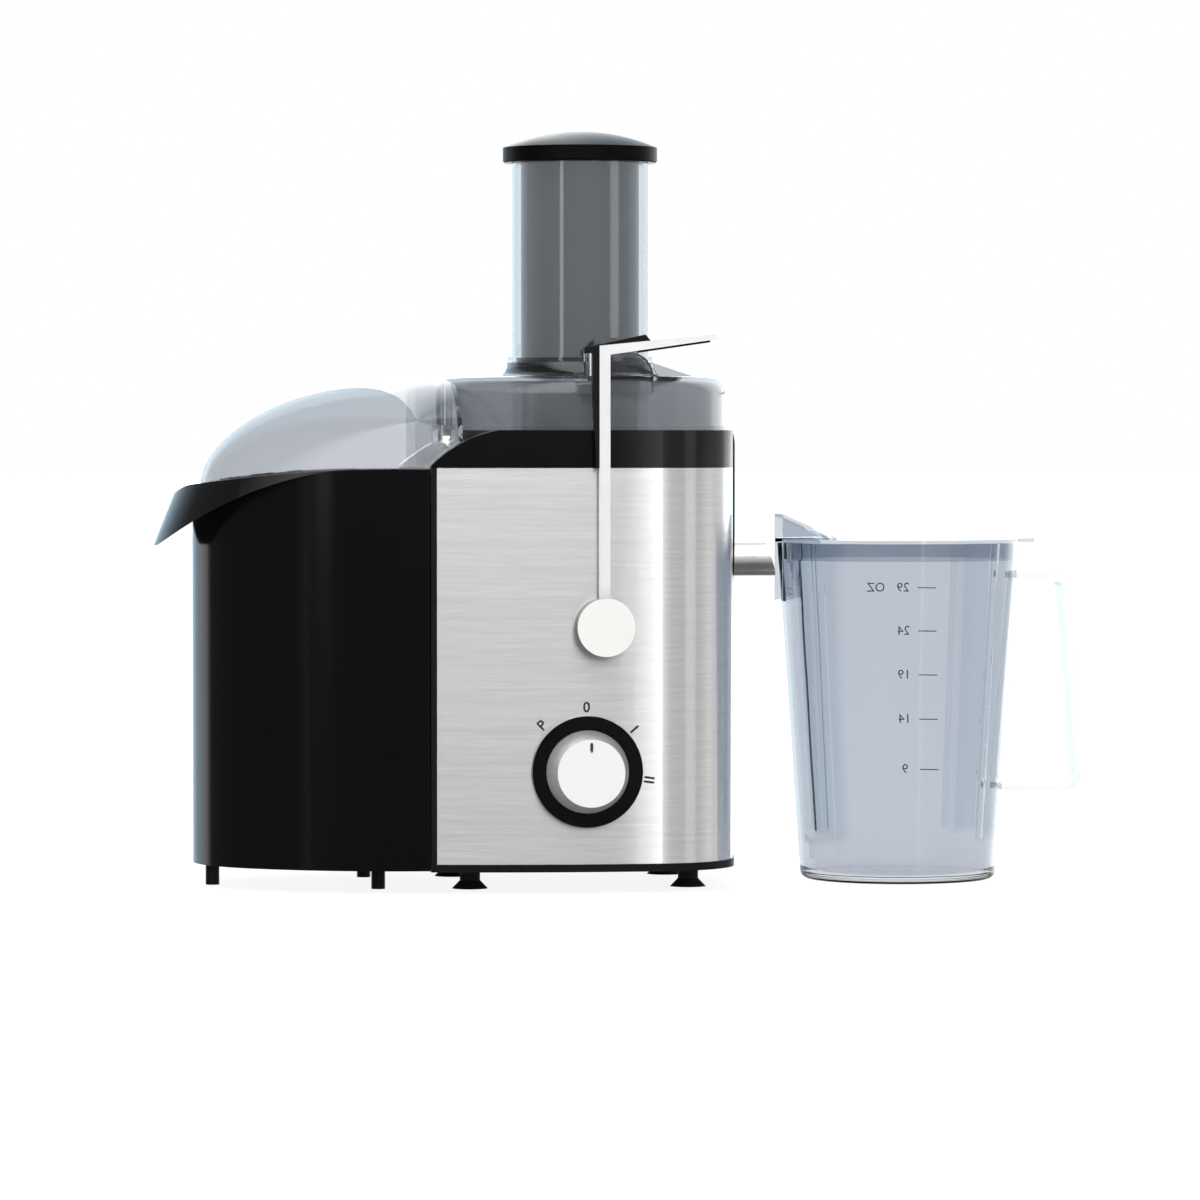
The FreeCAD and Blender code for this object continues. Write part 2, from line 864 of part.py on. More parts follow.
def make_suction_cups():
    cups = []
    for x in (-s.cup_left_x, s.cup_right_x):
        for side in (-1, 1):
            y = side * s.cup_side_y
            flare = cone(s.cup_radius, s.cup_stem_radius, s.cup_flare_height, x, y)
            stem = cylinder(s.cup_stem_radius, s.foot_height, x, y)
            hollow = cone(s.cup_radius * 0.8, s.cup_radius * 0.3, s.cup_hollow, x, y)
            cups.append(cut(fuse(flare, stem), hollow))
    node(fuse(*cups), "suction_cups")


def make_base_screws():
    screws = []
    for x, y in screw_places():
        head = cylinder(s.screw_head_radius, s.screw_head_height, x, y, s.foot_height)
        reach = s.plate_thick + s.screw_length - 1
        shank = cylinder(s.screw_radius, reach, x, y, s.foot_height)
        screws.append(fuse(head, shank))
    node(fuse(*screws), "base_screws")


def ramp_edge(lift):
    """The collar's ramp from its level top down to the seam, raised by lift, for side outlines."""
    start = (-(housing_left - s.ramp_length), collar_top + lift, s.ramp_radius)
    return start, (-housing_left, body_top + s.ramp_end_height + lift)


def make_top_collar():
    body = new_body("top_collar")
    rim = draw_outline(new_sketch(body, "XY", body_top), housing_left, 0)
    pad(body, rim, s.collar_height)
    start, stop = ramp_edge(0)
    above = collar_top + 5
    beyond = -housing_left - 5
    ramp = new_sketch(body, "XZ")
    draw(ramp, [start, stop, (beyond, stop[1]), (beyond, above), (start[0], above)])
    pocket(body, ramp, 4 * s.body_half_width, symmetric=True)
    bore = new_sketch(body, "XY", collar_top)
    pocket(body, draw_circle(bore, 0, 0, s.bowl_radius + s.bowl_gap))
    step = new_sketch(body, "XY", collar_top)
    pocket(body, draw_circle(step, 0, 0, s.bowl_flange_radius + s.seat_gap), s.bowl_flange_thick)
    spout_slot(body, body_top - 1)


# --- juice path ---

tube_inner = s.bowl_tube_radius - s.bowl_wall


def floor_under(radius):
    """Height of the bowl floor's underside, which falls evenly from the tube to the wall."""
    return bowl_floor + s.bowl_slope * (s.bowl_radius - radius) / (s.bowl_radius - tube_inner)


def make_juice_bowl():
    rib_inner = s.bowl_rib_radius - s.bowl_wall
    inside = s.bowl_radius - s.bowl_wall
    under = collar_top - s.bowl_flange_thick
    tube_top = bowl_floor + s.bowl_tube_height
    body = turned("juice_bowl", [
        (tube_inner, floor_under(tube_inner)),
        (rib_inner, floor_under(rib_inner)),
        (rib_inner, deck_top),
        (s.bowl_rib_radius, deck_top),
        (s.bowl_rib_radius, floor_under(s.bowl_rib_radius)),
        (s.bowl_radius, bowl_floor),
        (s.bowl_radius, under),
        (s.bowl_flange_radius, under),
        (s.bowl_flange_radius, collar_top),
        (inside, collar_top),
        (inside, floor_under(inside) + s.bowl_wall),
        (s.bowl_tube_radius, floor_under(s.bowl_tube_radius) + s.bowl_wall),
        (s.bowl_tube_radius, tube_top),
        (tube_inner, tube_top),
    ])
    start = inside + s.bowl_wall / 4
    stub = draw_circle(new_sketch(body, "YZ", start), 0, spout_z, s.spout_bore - s.fit_gap)
    pad(body, stub, s.outlet_end - start)
    bore = new_sketch(body, "YZ", s.outlet_end)
    pocket(body, draw_circle(bore, 0, spout_z, s.outlet_bore), s.outlet_end - s.inner_reach)


shield_back = s.end_x + s.shield_gap
shield_face = shield_back + s.shield_thick


def make_spout_shield():
    body = new_body("spout_shield")
    half = s.shield_half_width
    low = spout_z - s.shield_drop
    sketch = new_sketch(body, "YZ", shield_back)
    draw(sketch, [
        (half, low + s.shield_point), (half, collar_top - half / 2, half * 1.2), (0, collar_top, half * 1.2),
        (-half, collar_top - half / 2), (-half, low + s.shield_point, half * 3), (0, low, half * 3),
    ])
    pad(body, sketch, s.shield_thick)
    plug_half = s.spout_bore + s.slot_side_gap - s.shield_gap
    plug = new_sketch(body, "YZ", shield_back)
    draw_box(plug, -plug_half, spout_z, plug_half, collar_top - s.bowl_flange_thick - s.shield_gap)
    pad(body, plug, s.shield_plug, back=True)
    bore = draw_circle(new_sketch(body, "YZ", shield_face), 0, spout_z, s.spout_bore)
    pocket(body, bore)


def make_juice_spout():
    body = new_body("juice_spout")
    tube = draw_circle(new_sketch(body, "YZ", shield_face), 0, spout_z, s.spout_radius)
    draw_circle(tube, 0, spout_z, s.spout_bore)
    pad(body, tube, s.spout_end_bottom - shield_face)
    top = spout_z + s.spout_radius
    bottom = spout_z - s.spout_radius
    end = new_sketch(body, "XZ")
    beyond = s.spout_end_bottom + 1
    draw(end, [(s.spout_end_top, top), (s.spout_end_bottom, bottom), (beyond, bottom - 1),
               (beyond, top + 1), (s.spout_end_top, top + 1)])
    pocket(body, end, 4 * s.spout_radius, symmetric=True)


# --- lid, chute and hood ---

lid_ledge_top = lid_top - s.ledge_drop


def make_lid():
    outer = s.lid_radius
    inner = s.lid_radius - s.lid_wall
    bend = s.lid_radius - s.lid_corner
    low_bend = lid_top - s.lid_corner
    hole = s.chute_radius + s.seat_gap
    under = lid_top - s.lid_wall
    body = turned("lid", [
        (inner, collar_top),
        (outer + s.lid_rim_width, collar_top),
        (outer + s.lid_rim_width, collar_top + s.lid_rim_height),
        (outer, collar_top + s.lid_rim_height),
        (outer, low_bend, s.lid_corner),
        (bend, lid_top),
        (hole + s.lid_neck_width, lid_top, -s.lid_neck_width),
        (hole + s.lid_wall, lid_top + s.lid_neck_height),
        (hole, lid_top + s.lid_neck_height),
        (hole, under),
        (bend, under, s.lid_wall - s.lid_corner),
        (inner, low_bend),
    ])
    for side in (-1, 1):
        depth = s.ear_outer_y - s.ear_inner_y
        near_face = s.ear_inner_y if side < 0 else -s.ear_outer_y
        ear_top = lid_top + s.ear_height
        ear_end = s.ear_start_x + s.ear_length
        ear = new_sketch(body, "XZ", near_face)
        draw(ear, [
            (s.ear_start_x, low_bend), (ear_end, low_bend), (ear_end, lid_top, s.ear_height),
            (ear_end - s.ear_height, ear_top), (s.ear_start_x, ear_top),
        ])
        pad(body, ear, depth)
        reach = s.lid_radius + s.ledge_reach
        ledge_start = inner - s.lid_wall
        ledge_face = ledge_start if side < 0 else -reach
        ledge = new_sketch(body, "XZ", ledge_face)
        draw_box(ledge, -s.ledge_length, lid_ledge_top - s.ledge_thick, 0, lid_ledge_top)
        pad(body, ledge, reach - ledge_start)
    gusset = new_sketch(body, "XZ")
    neck_x = hole + s.lid_wall / 2
    draw(gusset, [
        (neck_x, under), (s.gusset_reach, under), (s.gusset_reach, lid_top),
        (neck_x, lid_top + s.lid_neck_height),
    ])
    pad(body, gusset, s.lid_wall, symmetric=True)
    window = new_sketch(body, "YZ", -s.pulp_window_x)
    sill = collar_top + s.pulp_window_sill
    half = s.pulp_window_half
    draw_box(window, -half, sill, half, sill + s.pulp_window_height)
    pocket(body, window)


def make_feed_chute():
    outer = s.chute_radius
    inner = outer - s.chute_wall
    ring_low = lid_top + s.lid_neck_height + s.seat_gap
    turned("feed_chute", [
        (inner, lid_top - s.chute_drop),
        (outer, lid_top - s.chute_drop),
        (outer, ring_low),
        (s.chute_ring_radius, ring_low),
        (s.chute_ring_radius, ring_low + s.chute_wall),
        (outer, ring_low + s.chute_wall),
        (outer, chute_top),
        (inner, chute_top),
    ])


def make_chute_ring():
    outer = s.chute_radius - s.chute_wall - s.fit_gap
    inner = s.pusher_radius + s.ring_gap
    low = lid_top + s.fit_gap
    turned("chute_ring", [(inner, low), (outer, low), (outer, low + s.ring_height),
                          (inner, low + s.ring_height)])


def egg(half_length, half_width, rise):
    made = doc.addObject("Part::Ellipsoid", "egg")
    bind(made, "Radius1", rise)
    bind(made, "Radius2", half_length)
    bind(made, "Radius3", half_width)
    made.Angle1 = -90
    made.Angle2 = 90
    return place(made, -s.hood_centre_x, 0, body_top - s.hood_base_drop)


def make_pulp_hood():
    wall = s.hood_wall
    outer = egg(s.hood_half_length, s.hood_half_width, s.hood_rise)
    inner = egg(s.hood_half_length - wall, s.hood_half_width - wall, s.hood_rise - wall)
    skirt_z = body_top - s.hood_base_drop - s.hood_skirt
    far = 3 * s.hood_half_length
    below = box(-far, -far, skirt_z - far, 2 * far, 2 * far, far)
    start, stop = ramp_edge(s.hood_gap)
    low = skirt_z - 1
    edge_x = -housing_left - s.hood_gap - s.tub_gap
    stop_z = stop[1]
    under = plate_of("XZ", [
        start, stop, (edge_x, stop_z), (edge_x, low), (far, low), (far, start[1]),
    ], -far / 2, far)
    drum = cylinder(s.lid_radius + s.seat_gap, far, 0, 0, low)
    rim = cylinder(s.lid_radius + s.lid_rim_width + s.seat_gap,
                   collar_top + s.lid_rim_height + s.seat_gap - low, 0, 0, low)
    throat = []
    for side in (-1, 1):
        low_y = s.pulp_window_half if side > 0 else -s.pulp_window_half - wall
        throat.append(box(-s.throat_reach, low_y, low, s.throat_reach / 2, wall, s.hood_rise))
    end_wall = box(-s.hood_end - wall, -far, low, wall, 2 * far, far)
    walls = common(outer, fuse(end_wall, *throat))
    beyond = box(-s.hood_end, -far, low - 1, 2 * far, 2 * far, 2 * far)
    node(cut(fuse(cut(outer, inner), walls), below, under, drum, rim, beyond), "pulp_hood")


# --- pusher ---

def make_pusher():
    radius = s.pusher_radius
    inner = radius - s.pusher_wall
    low = disc_z + s.disc_thick + s.tooth_height + s.pusher_end_gap
    foot_top = low + s.pusher_foot_height
    cap_low = chute_top + s.seat_gap
    turned("pusher_foot", [(0, low), (radius - 1, low), (radius, low + 1), (radius, foot_top),
                           (0, foot_top)])
    turned("pusher_body", [
        (0, foot_top), (radius, foot_top), (radius, cap_low), (inner, cap_low),
        (inner, foot_top + s.pusher_wall), (0, foot_top + s.pusher_wall),
    ])
    outer = s.pusher_cap_radius
    band_top = cap_low + s.pusher_band_height
    dome = s.pusher_dome_height
    dome_radius = (outer * outer + dome * dome) / (2 * dome)
    turned("pusher_cap", [
        (0, cap_low), (outer - 0.8, cap_low), (outer, cap_low + 0.8), (outer, band_top, dome_radius),
        (0, band_top + dome),
    ])


# --- pulp container ---

tub_x = housing_left + s.tub_gap
rim_z = body_top - s.tub_drop


def tub_outline(length, half_width, end_radius, right):
    """The container seen from above: a long arc on each side, tangent to one end arc. The side
    arcs are widest at the container's straight wall."""
    reach = length - end_radius
    side = (reach * reach + half_width * half_width - end_radius * end_radius)
    side = side / (2 * (half_width - end_radius))
    drop = side - half_width
    span = side - end_radius
    joint_x = -tub_x - reach - end_radius * reach / span
    joint_y = end_radius * drop / span
    offset = tub_x - right
    y = root(side * side - offset * offset) - drop
    return [
        (-right, y, side), (joint_x, joint_y, end_radius), (joint_x, -joint_y, side), (-right, -y),
    ]


def rim_height(x, lower):
    """Height of the container's arched rim at x left of the motor's axis, lowered by lower."""
    offset = x - s.rim_apex_x
    return rim_z - lower - s.rim_radius + root(s.rim_radius * s.rim_radius - offset * offset)


def tub_prism(inset, right, low, high):
    body = doc.addObject("PartDesign::Body", "prism")
    points = tub_outline(s.tub_length - inset, s.tub_half_width - inset, s.tub_end_radius - inset, right)
    pad(body, draw(new_sketch(body, "XY", low), points), high - low)
    return body


def lip_solid(inset, low, high):
    """The container's outline flaring outwards as it goes down, as a loft between two levels."""
    body = doc.addObject("PartDesign::Body", "flare")
    tip_z = rim_z - s.lip_drop
    sections = []
    for level in (low, high):
        fall = (level - tip_z) / (rim_z - tip_z)
        out = s.lip_reach - (s.lip_reach - s.lip_top_reach) * fall - inset
        side = s.lip_side_reach * (1 - fall) - inset
        points = tub_outline(s.tub_length + out, s.tub_half_width + side, s.tub_end_radius + side, tub_x)
        sections.append(draw(new_sketch(body, "XY", level), points))
    made = feature(body, "AdditiveLoft", sections[0])
    made.Sections = [sections[1]]
    made.Ruled = True
    return body


def make_pulp_container():
    far = 3 * s.tub_length
    wide = 4 * s.tub_half_width
    left = tub_x + s.tub_length + 2 * s.lip_reach
    right = s.seam_x - 5

    def arched(points_before, lower, points_after):
        edge = [(-s.rim_apex_x, rim_z - lower, s.rim_radius), (-left, rim_height(left, lower))]
        return plate_of("XZ", points_before + edge + points_after, -wide / 2, wide)

    shell = tub_prism(0, tub_x, s.tub_floor, rim_z + 1)
    above = arched([(-right, rim_z)], 0, [(-left, rim_z + 5), (-right, rim_z + 5)])
    tip_z = rim_z - s.lip_drop
    tip_x = tub_x + s.tub_length + s.lip_reach - s.lip_blunt
    lip_x = tub_x + s.lip_start
    bend_x = tub_x + s.tub_length + s.lip_bend
    bend_z = rim_height(bend_x, 0)
    kept = plate_of("XZ", [
        (-lip_x, rim_height(lip_x, 0), s.rim_radius), (-bend_x, bend_z, s.lip_round),
        (-bend_x - s.lip_round_across, bend_z - s.lip_round_drop),
        (-left, bend_z - s.lip_round_drop), (-left, tip_z), (-tip_x, tip_z, -s.lip_curve),
    ], -wide / 2, wide)
    roof = s.lip_wall
    hollow = arched([(-right, rim_z - roof)], roof, [(-left, tip_z - 30), (-right, tip_z - 30)])
    outer = lip_solid(0, tip_z, rim_z + 1)
    inner = lip_solid(s.lip_wall, tip_z - 1, rim_z + 1)
    lip = cut(common(outer, kept), common(inner, hollow))
    room = tub_prism(s.tub_wall, tub_x + s.tub_wall, s.tub_floor + s.tub_wall, rim_z + 2)
    opening_y = tub_outline(s.tub_length - s.tub_wall, s.tub_half_width - s.tub_wall,
                            s.tub_end_radius - s.tub_wall, tub_x + s.tub_wall)[0][1]
    opening = box(-tub_x - s.tub_wall - 1, -opening_y, rim_z - s.tub_wall_drop,
                  s.tub_wall + 2, 2 * opening_y, s.tub_wall_drop + 5)
    node(cut(fuse(cut(shell, above), lip), room, opening), "pulp_container")


def make_container_posts():
    posts = []
    for x, y in ((-s.post_near_x, -s.post_side_y), (-s.post_near_x, s.post_side_y), (-s.post_left_x, 0)):
        posts.append(cylinder(s.post_radius, s.tub_floor, x, y))
    node(fuse(*posts), "container_posts")


# --- locking bail ---

arm_outer_y = s.arm_inner_y + s.arm_thick
arm_bottom = pivot_z + s.pivot_pin_radius + s.arm_tail
arm_top = lid_top + s.arm_over
arm_under = arm_top - s.arm_top_thick
arm_reach = s.chute_radius + s.grip_gap + s.grip_width
arm_half = s.arm_width / 2
arm_slope = s.arm_rise / (arm_reach - arm_half)


def both_sides(make):
    """The same shape on the near and the far side."""
    return fuse(make(-1), make(1))


def bar_under(x):
    """Height of the underside of the bail's sloping bars."""
    return arm_under + arm_slope * (x - arm_half)


def bar_over(x):
    """Height of the bars' upper side, which is thinner towards the grip."""
    end_z = arm_under + s.arm_rise + s.grip_thick
    return arm_top + (end_z - arm_top) * (x + arm_half) / (arm_reach + arm_half)


def make_locking_arm():
    body = new_body("locking_arm")
    end_z = arm_under + s.arm_rise
    sides = new_sketch(body, "XZ")
    draw(sides, [
        (-arm_half, arm_bottom), (arm_half, arm_bottom), (arm_half, arm_under), (arm_reach, end_z),
        (arm_reach, end_z + s.grip_thick), (-arm_half, arm_top),
    ])
    pad(body, sides, 2 * arm_outer_y, symmetric=True)
    gap = new_sketch(body, "XZ")
    draw_box(gap, -s.arm_width, arm_bottom - 1, arm_reach + 1, arm_top + 2 * s.arm_rise)
    pocket(body, gap, 2 * s.arm_inner_y, symmetric=True)
    start = arm_reach - s.grip_width
    grip = new_sketch(body, "XZ")
    draw(grip, [(start, bar_under(start)), (arm_reach, end_z), (arm_reach, end_z + s.grip_thick),
                (start, bar_under(start) + s.grip_thick)])
    pad(body, grip, 2 * arm_outer_y, symmetric=True)


def make_grip_pad():
    """The dark strip under both bars and the grip between them."""
    body = new_body("grip_pad")
    start = s.grip_pad_start
    stop = arm_reach - s.grip_pad_end
    strip = new_sketch(body, "XZ")
    draw(strip, [(start, bar_under(start) - s.grip_pad_thick), (stop, bar_under(stop) - s.grip_pad_thick),
                 (stop, bar_under(stop)), (start, bar_under(start))])
    pad(body, strip, 2 * arm_outer_y, symmetric=True)
    gap = new_sketch(body, "XZ")
    draw_box(gap, start - 1, arm_under - s.arm_rise, arm_reach - s.grip_width, arm_top + s.arm_rise)
    pocket(body, gap, 2 * s.arm_inner_y, symmetric=True)


def make_arm_pivot_discs():
    depth = s.pivot_disc_face - s.pivot_disc_back
    bore_depth = depth - s.pivot_disc_wall

    def disc(side):
        along = "-y" if side < 0 else "y"
        back = side * s.pivot_disc_back
        plain = cylinder(s.pivot_disc_radius, depth, 0, back, pivot_z, along)
        bore = cylinder(s.pivot_pin_radius + s.pivot_clearance, bore_depth, 0, back, pivot_z, along)
        gap = s.fit_gap
        low_y = -arm_outer_y - gap if side < 0 else s.arm_inner_y - gap
        slot = box(-s.arm_width / 2 - gap, low_y, arm_bottom - gap, s.arm_width + 2 * gap,
                   s.arm_thick + 2 * gap, s.pivot_disc_radius)
        return cut(plain, bore, slot)

    node(both_sides(disc), "arm_pivot_discs")


clamp_x = -arm_half - s.clamp_length
hook_x = clamp_x - s.clamp_hook
hook_top = arm_top - s.clamp_drop
hook_low = hook_top - s.clamp_hook_thick


def make_arm_clamps():
    """Black latches at the bail's corners: a claw over the lid's ledge, a hook and a long fin
    behind the arm, and a thumb rest on the bar."""
    inner_y = s.ear_outer_y + s.clamp_gap
    fin_low = lid_top - s.clamp_fin_low
    fin_x = -arm_half - s.clamp_fin_thick
    rest_end = s.clamp_rest_length + s.clamp_rest_end
    rest_top = bar_over(s.clamp_rest_length) + s.clamp_rest_height
    claw_low = lid_ledge_top + s.clamp_gap

    def clamp(side):
        low_y = s.clamp_inner_y if side < 0 else -arm_outer_y
        plate = plate_of("XZ", [
            (fin_x, fin_low), (-arm_half, fin_low), (-arm_half, arm_top),
            (rest_end, bar_over(rest_end)), (s.clamp_rest_length, rest_top),
            (-arm_half, arm_top + s.clamp_lift), (hook_x, hook_top), (hook_x, hook_low), (clamp_x, hook_low),
            (clamp_x, claw_low),
        ], low_y, arm_outer_y - s.clamp_inner_y)
        claw_y = -s.clamp_inner_y - 1 if side < 0 else inner_y
        claw = box(clamp_x, claw_y, claw_low, s.clamp_length, s.clamp_inner_y + 1 - inner_y,
                   s.clamp_height)
        return fuse(plate, claw)

    node(both_sides(clamp), "arm_clamps")


def make_clamp_pads():
    """Clear rollers that stand under the latches' hooks."""
    middle = (s.clamp_inner_y + arm_outer_y) / 2

    def roller(side):
        return cylinder(s.clamp_pad_radius, s.clamp_pad_height, hook_x + s.clamp_pad_radius,
                        side * middle, hook_low - s.clamp_pad_height)

    node(both_sides(roller), "clamp_pads")


def make_pivot_pins():
    wall_y = outline_y(-s.pivot_head_radius, housing_inset + s.housing_wall)

    def pin(side):
        along = "-y" if side < 0 else "y"
        start = wall_y - s.pivot_head_thick
        head = cylinder(s.pivot_head_radius, s.pivot_head_thick - s.skin_gap, 0, side * start, pivot_z, along)
        shoulder = cylinder(s.pivot_shoulder_radius, s.pivot_disc_back - s.seat_gap - start, 0,
                            side * start, pivot_z, along)
        tip = s.pivot_disc_face - s.pivot_disc_wall - s.seat_gap
        shaft = cylinder(s.pivot_pin_radius, tip - start, 0, side * start, pivot_z, along)
        return fuse(head, shoulder, shaft)

    node(both_sides(pin), "pivot_pins")


# --- speed knob ---

bezel_back = s.body_half_width + s.skin_gap
bezel_face = bezel_back + s.bezel_depth
bezel_floor = bezel_back - s.bezel_sink


def knob_round(radius, start, stop, end_radius=None):
    """A round solid on the knob's axis between two distances from the machine's middle plane."""
    if end_radius is None:
        return cylinder(radius, stop - start, -s.knob_x, -start, knob_z, "-y")
    return cone(radius, end_radius, stop - start, -s.knob_x, -start, knob_z, "-y")


def make_knob():
    bezel = fuse(knob_round(s.bezel_radius, bezel_back, bezel_face),
                 knob_round(s.bezel_neck_radius, bezel_floor - s.bezel_floor_thick, bezel_back))
    well = knob_round(s.bezel_bore, bezel_floor, bezel_face + 1)
    hole = knob_round(s.spindle_radius + s.seat_gap, bezel_floor - 2 * s.bezel_floor_thick, bezel_face)
    node(cut(bezel, well, hole), "knob_bezel")
    knob_start = bezel_floor + s.knob_lift
    knob_face = bezel_face + s.knob_depth - s.knob_cap_thick
    spindle_end = knob_start + s.spindle_grip
    grip = fuse(knob_round(s.knob_radius, knob_start, bezel_face),
                knob_round(s.knob_radius, bezel_face, knob_face, s.knob_face_radius))
    socket = knob_round(s.spindle_radius + s.fit_gap, knob_start - 1, spindle_end + s.fit_gap)
    node(cut(grip, socket), "speed_knob")
    pointer = box(-s.knob_x - s.pointer_width / 2, -knob_face - s.knob_cap_thick - s.pointer_lift,
                  knob_z + s.knob_face_radius - s.pointer_length - 1,
                  s.pointer_width, s.pointer_lift * 2, s.pointer_length)
    node(fuse(knob_round(s.knob_face_radius, knob_face, knob_face + s.knob_cap_thick), pointer),
         "knob_cap")
    switch_face = bezel_floor - s.bezel_floor_thick
    case = box(-s.knob_x - s.switch_size / 2, -switch_face, knob_z - s.switch_size / 2,
               s.switch_size, s.switch_depth, s.switch_size)
    bore = knob_round(s.spindle_radius + s.seat_gap, switch_face - s.switch_depth / 2, switch_face + 1)
    node(cut(case, bore), "rotary_switch")
    spindle = knob_round(s.spindle_radius, switch_face - s.switch_depth / 2 + s.seat_gap, spindle_end)
    flat = box(-s.knob_x - s.spindle_radius, -spindle_end - 1, knob_z + s.spindle_radius * 0.7,
               2 * s.spindle_radius, s.spindle_grip, s.spindle_radius)
    node(cut(spindle, flat), "knob_spindle")


def make_cord_gland():
    y = s.body_half_width + s.skin_gap
    z = s.foot_height + s.gland_rise
    flange = cylinder(s.gland_flange_radius, s.gland_flange_thick, s.gland_x, y, z, "y")
    start = y - s.gland_depth
    neck = cylinder(s.gland_radius, s.gland_depth + s.gland_flange_thick, s.gland_x, start, z, "y")
    bore = cylinder(s.gland_bore, s.gland_depth * 2, s.gland_x, start - 1, z, "y")
    node(cut(fuse(flange, neck), bore), "cord_gland")


def make_safety_switch():
    left = -s.safety_x - s.safety_length
    y = outline_y(left, housing_inset + s.housing_wall) - s.fit_gap
    case = box(left, -y, deck_top + s.safety_lift, s.safety_length, s.safety_depth, s.safety_height)
    stem_x = left + s.safety_length / 2
    stem = cylinder(s.safety_stem_radius, s.safety_stem_height, stem_x, -y + s.safety_depth / 2,
                    deck_top + s.safety_lift + s.safety_height)
    node(fuse(case, stem), "safety_switch")


# --- motor ---

low_bracket_z = stack_z - s.low_bracket_drop
high_bracket_z = stack_top + s.high_bracket_rise


def four_corners(x, y):
    return [(side_x * x, side_y * y) for side_x in (-1, 1) for side_y in (-1, 1)]


def sector(inner, outer, height, start, sweep, z):
    """Part of a ring, from a start angle over a sweep."""
    solids = []
    for radius in (outer, inner):
        solid = cylinder(radius, height, 0, 0, z)
        solid.Angle = sweep
        solid.Placement.Rotation = FreeCAD.Rotation(FreeCAD.Vector(0, 0, 1), start)
        solids.append(solid)
    return cut(solids[0], solids[1])


def make_stator():
    body = new_body("stator_stack")
    half_x = s.stack_length / 2
    half_y = s.stack_width / 2
    cut_back = s.stack_corner
    plan = new_sketch(body, "XY", stack_z)
    draw(plan, [
        (half_x, half_y - cut_back), (half_x - cut_back, half_y), (cut_back - half_x, half_y),
        (-half_x, half_y - cut_back), (-half_x, cut_back - half_y), (cut_back - half_x, -half_y),
        (half_x - cut_back, -half_y), (half_x, cut_back - half_y),
    ])
    pad(body, plan, s.stack_height)
    bore = new_sketch(body, "XY", stack_z)
    pocket(body, draw_circle(bore, 0, 0, s.armature_radius + s.air_gap), back=True)
    slots = new_sketch(body, "XY", stack_z)
    for side in (-1, 1):
        low, high = s.slot_inner_x, s.winding_outer + 0.5
        if side < 0:
            low, high = -high, -low
        draw_box(slots, low, -s.slot_half_y, high, s.slot_half_y)
    pocket(body, slots, back=True)
    holes = new_sketch(body, "XY", stack_z)
    for x, y in four_corners(s.bolt_x, s.bolt_y):
        draw_circle(holes, x, y, s.bolt_radius + s.fit_gap)
    pocket(body, holes, back=True)


def make_field_windings():
    inner, outer = s.winding_inner, s.winding_outer
    low = stack_z - s.winding_height
    coils = []
    for turn in (0, 180):
        coils.append(sector(inner, outer, s.winding_height - 0.3, turn + 20, 140, low))
        coils.append(sector(inner, outer, s.winding_height - 0.3, turn + 20, 140, stack_top + 0.3))
        for start in (20, 135):
            coils.append(sector(inner, outer, s.stack_height + s.winding_height, turn + start, 25,
                                stack_z - s.winding_height / 2))
    node(fuse(*coils), "field_windings")


def bracket(label, low, leg_low, leg_length):
    half_x = s.stack_length / 2
    half_y = s.stack_width / 2
    plate = box(-half_x, -half_y, low, s.stack_length, s.stack_width, s.bracket_thick)
    legs = [cylinder(s.bracket_leg_radius, leg_length, x, y, leg_low)
            for x, y in four_corners(s.bolt_x, s.bolt_y)]
    cuts = [cylinder(s.bearing_radius + s.fit_gap, 4 * s.bracket_thick, 0, 0, low - s.bracket_thick)]
    reach = 4 * s.low_bracket_drop
    cuts += [cylinder(s.bolt_radius + s.fit_gap, reach, x, y, low - reach / 2)
             for x, y in four_corners(s.bolt_x, s.bolt_y)]
    for side in (-1, 1):
        y = side * s.window_y
        cuts.append(box(-s.window_half_x, y - s.window_half_y, low - 1, 2 * s.window_half_x,
                        2 * s.window_half_y, s.bracket_thick + 2))
    node(cut(fuse(plate, *legs), *cuts), label)


def make_motor_frame():
    bracket("lower_bracket", low_bracket_z, low_bracket_z, s.low_bracket_drop)
    bracket("upper_bracket", high_bracket_z, stack_top, s.high_bracket_rise + s.bracket_thick)
    bearings = []
    for low in (low_bracket_z, high_bracket_z):
        z = low + (s.bracket_thick - s.bearing_height) / 2
        ring = cylinder(s.bearing_radius, s.bearing_height, 0, 0, z)
        bore = cylinder(s.shaft_radius + s.shaft_clearance, 2 * s.bearing_height, 0, 0, z - 1)
        bearings.append(cut(ring, bore))
    node(fuse(*bearings), "motor_bearings")
    head = s.bolt_radius * 1.8
    top = high_bracket_z + s.bracket_thick
    bolts = []
    for x, y in four_corners(s.bolt_x, s.bolt_y):
        bolts.append(cylinder(head, s.bolt_radius, x, y, top))
        bolts.append(cylinder(s.bolt_radius, top - low_bracket_z + s.bolt_radius, x, y, low_bracket_z))
    node(fuse(*bolts), "motor_bolts")
    mounts = [cylinder(s.mount_radius, deck_bottom - top, x, y, top)
              for x, y in four_corners(s.mount_x, s.mount_y)]
    node(fuse(*mounts), "motor_mounts")


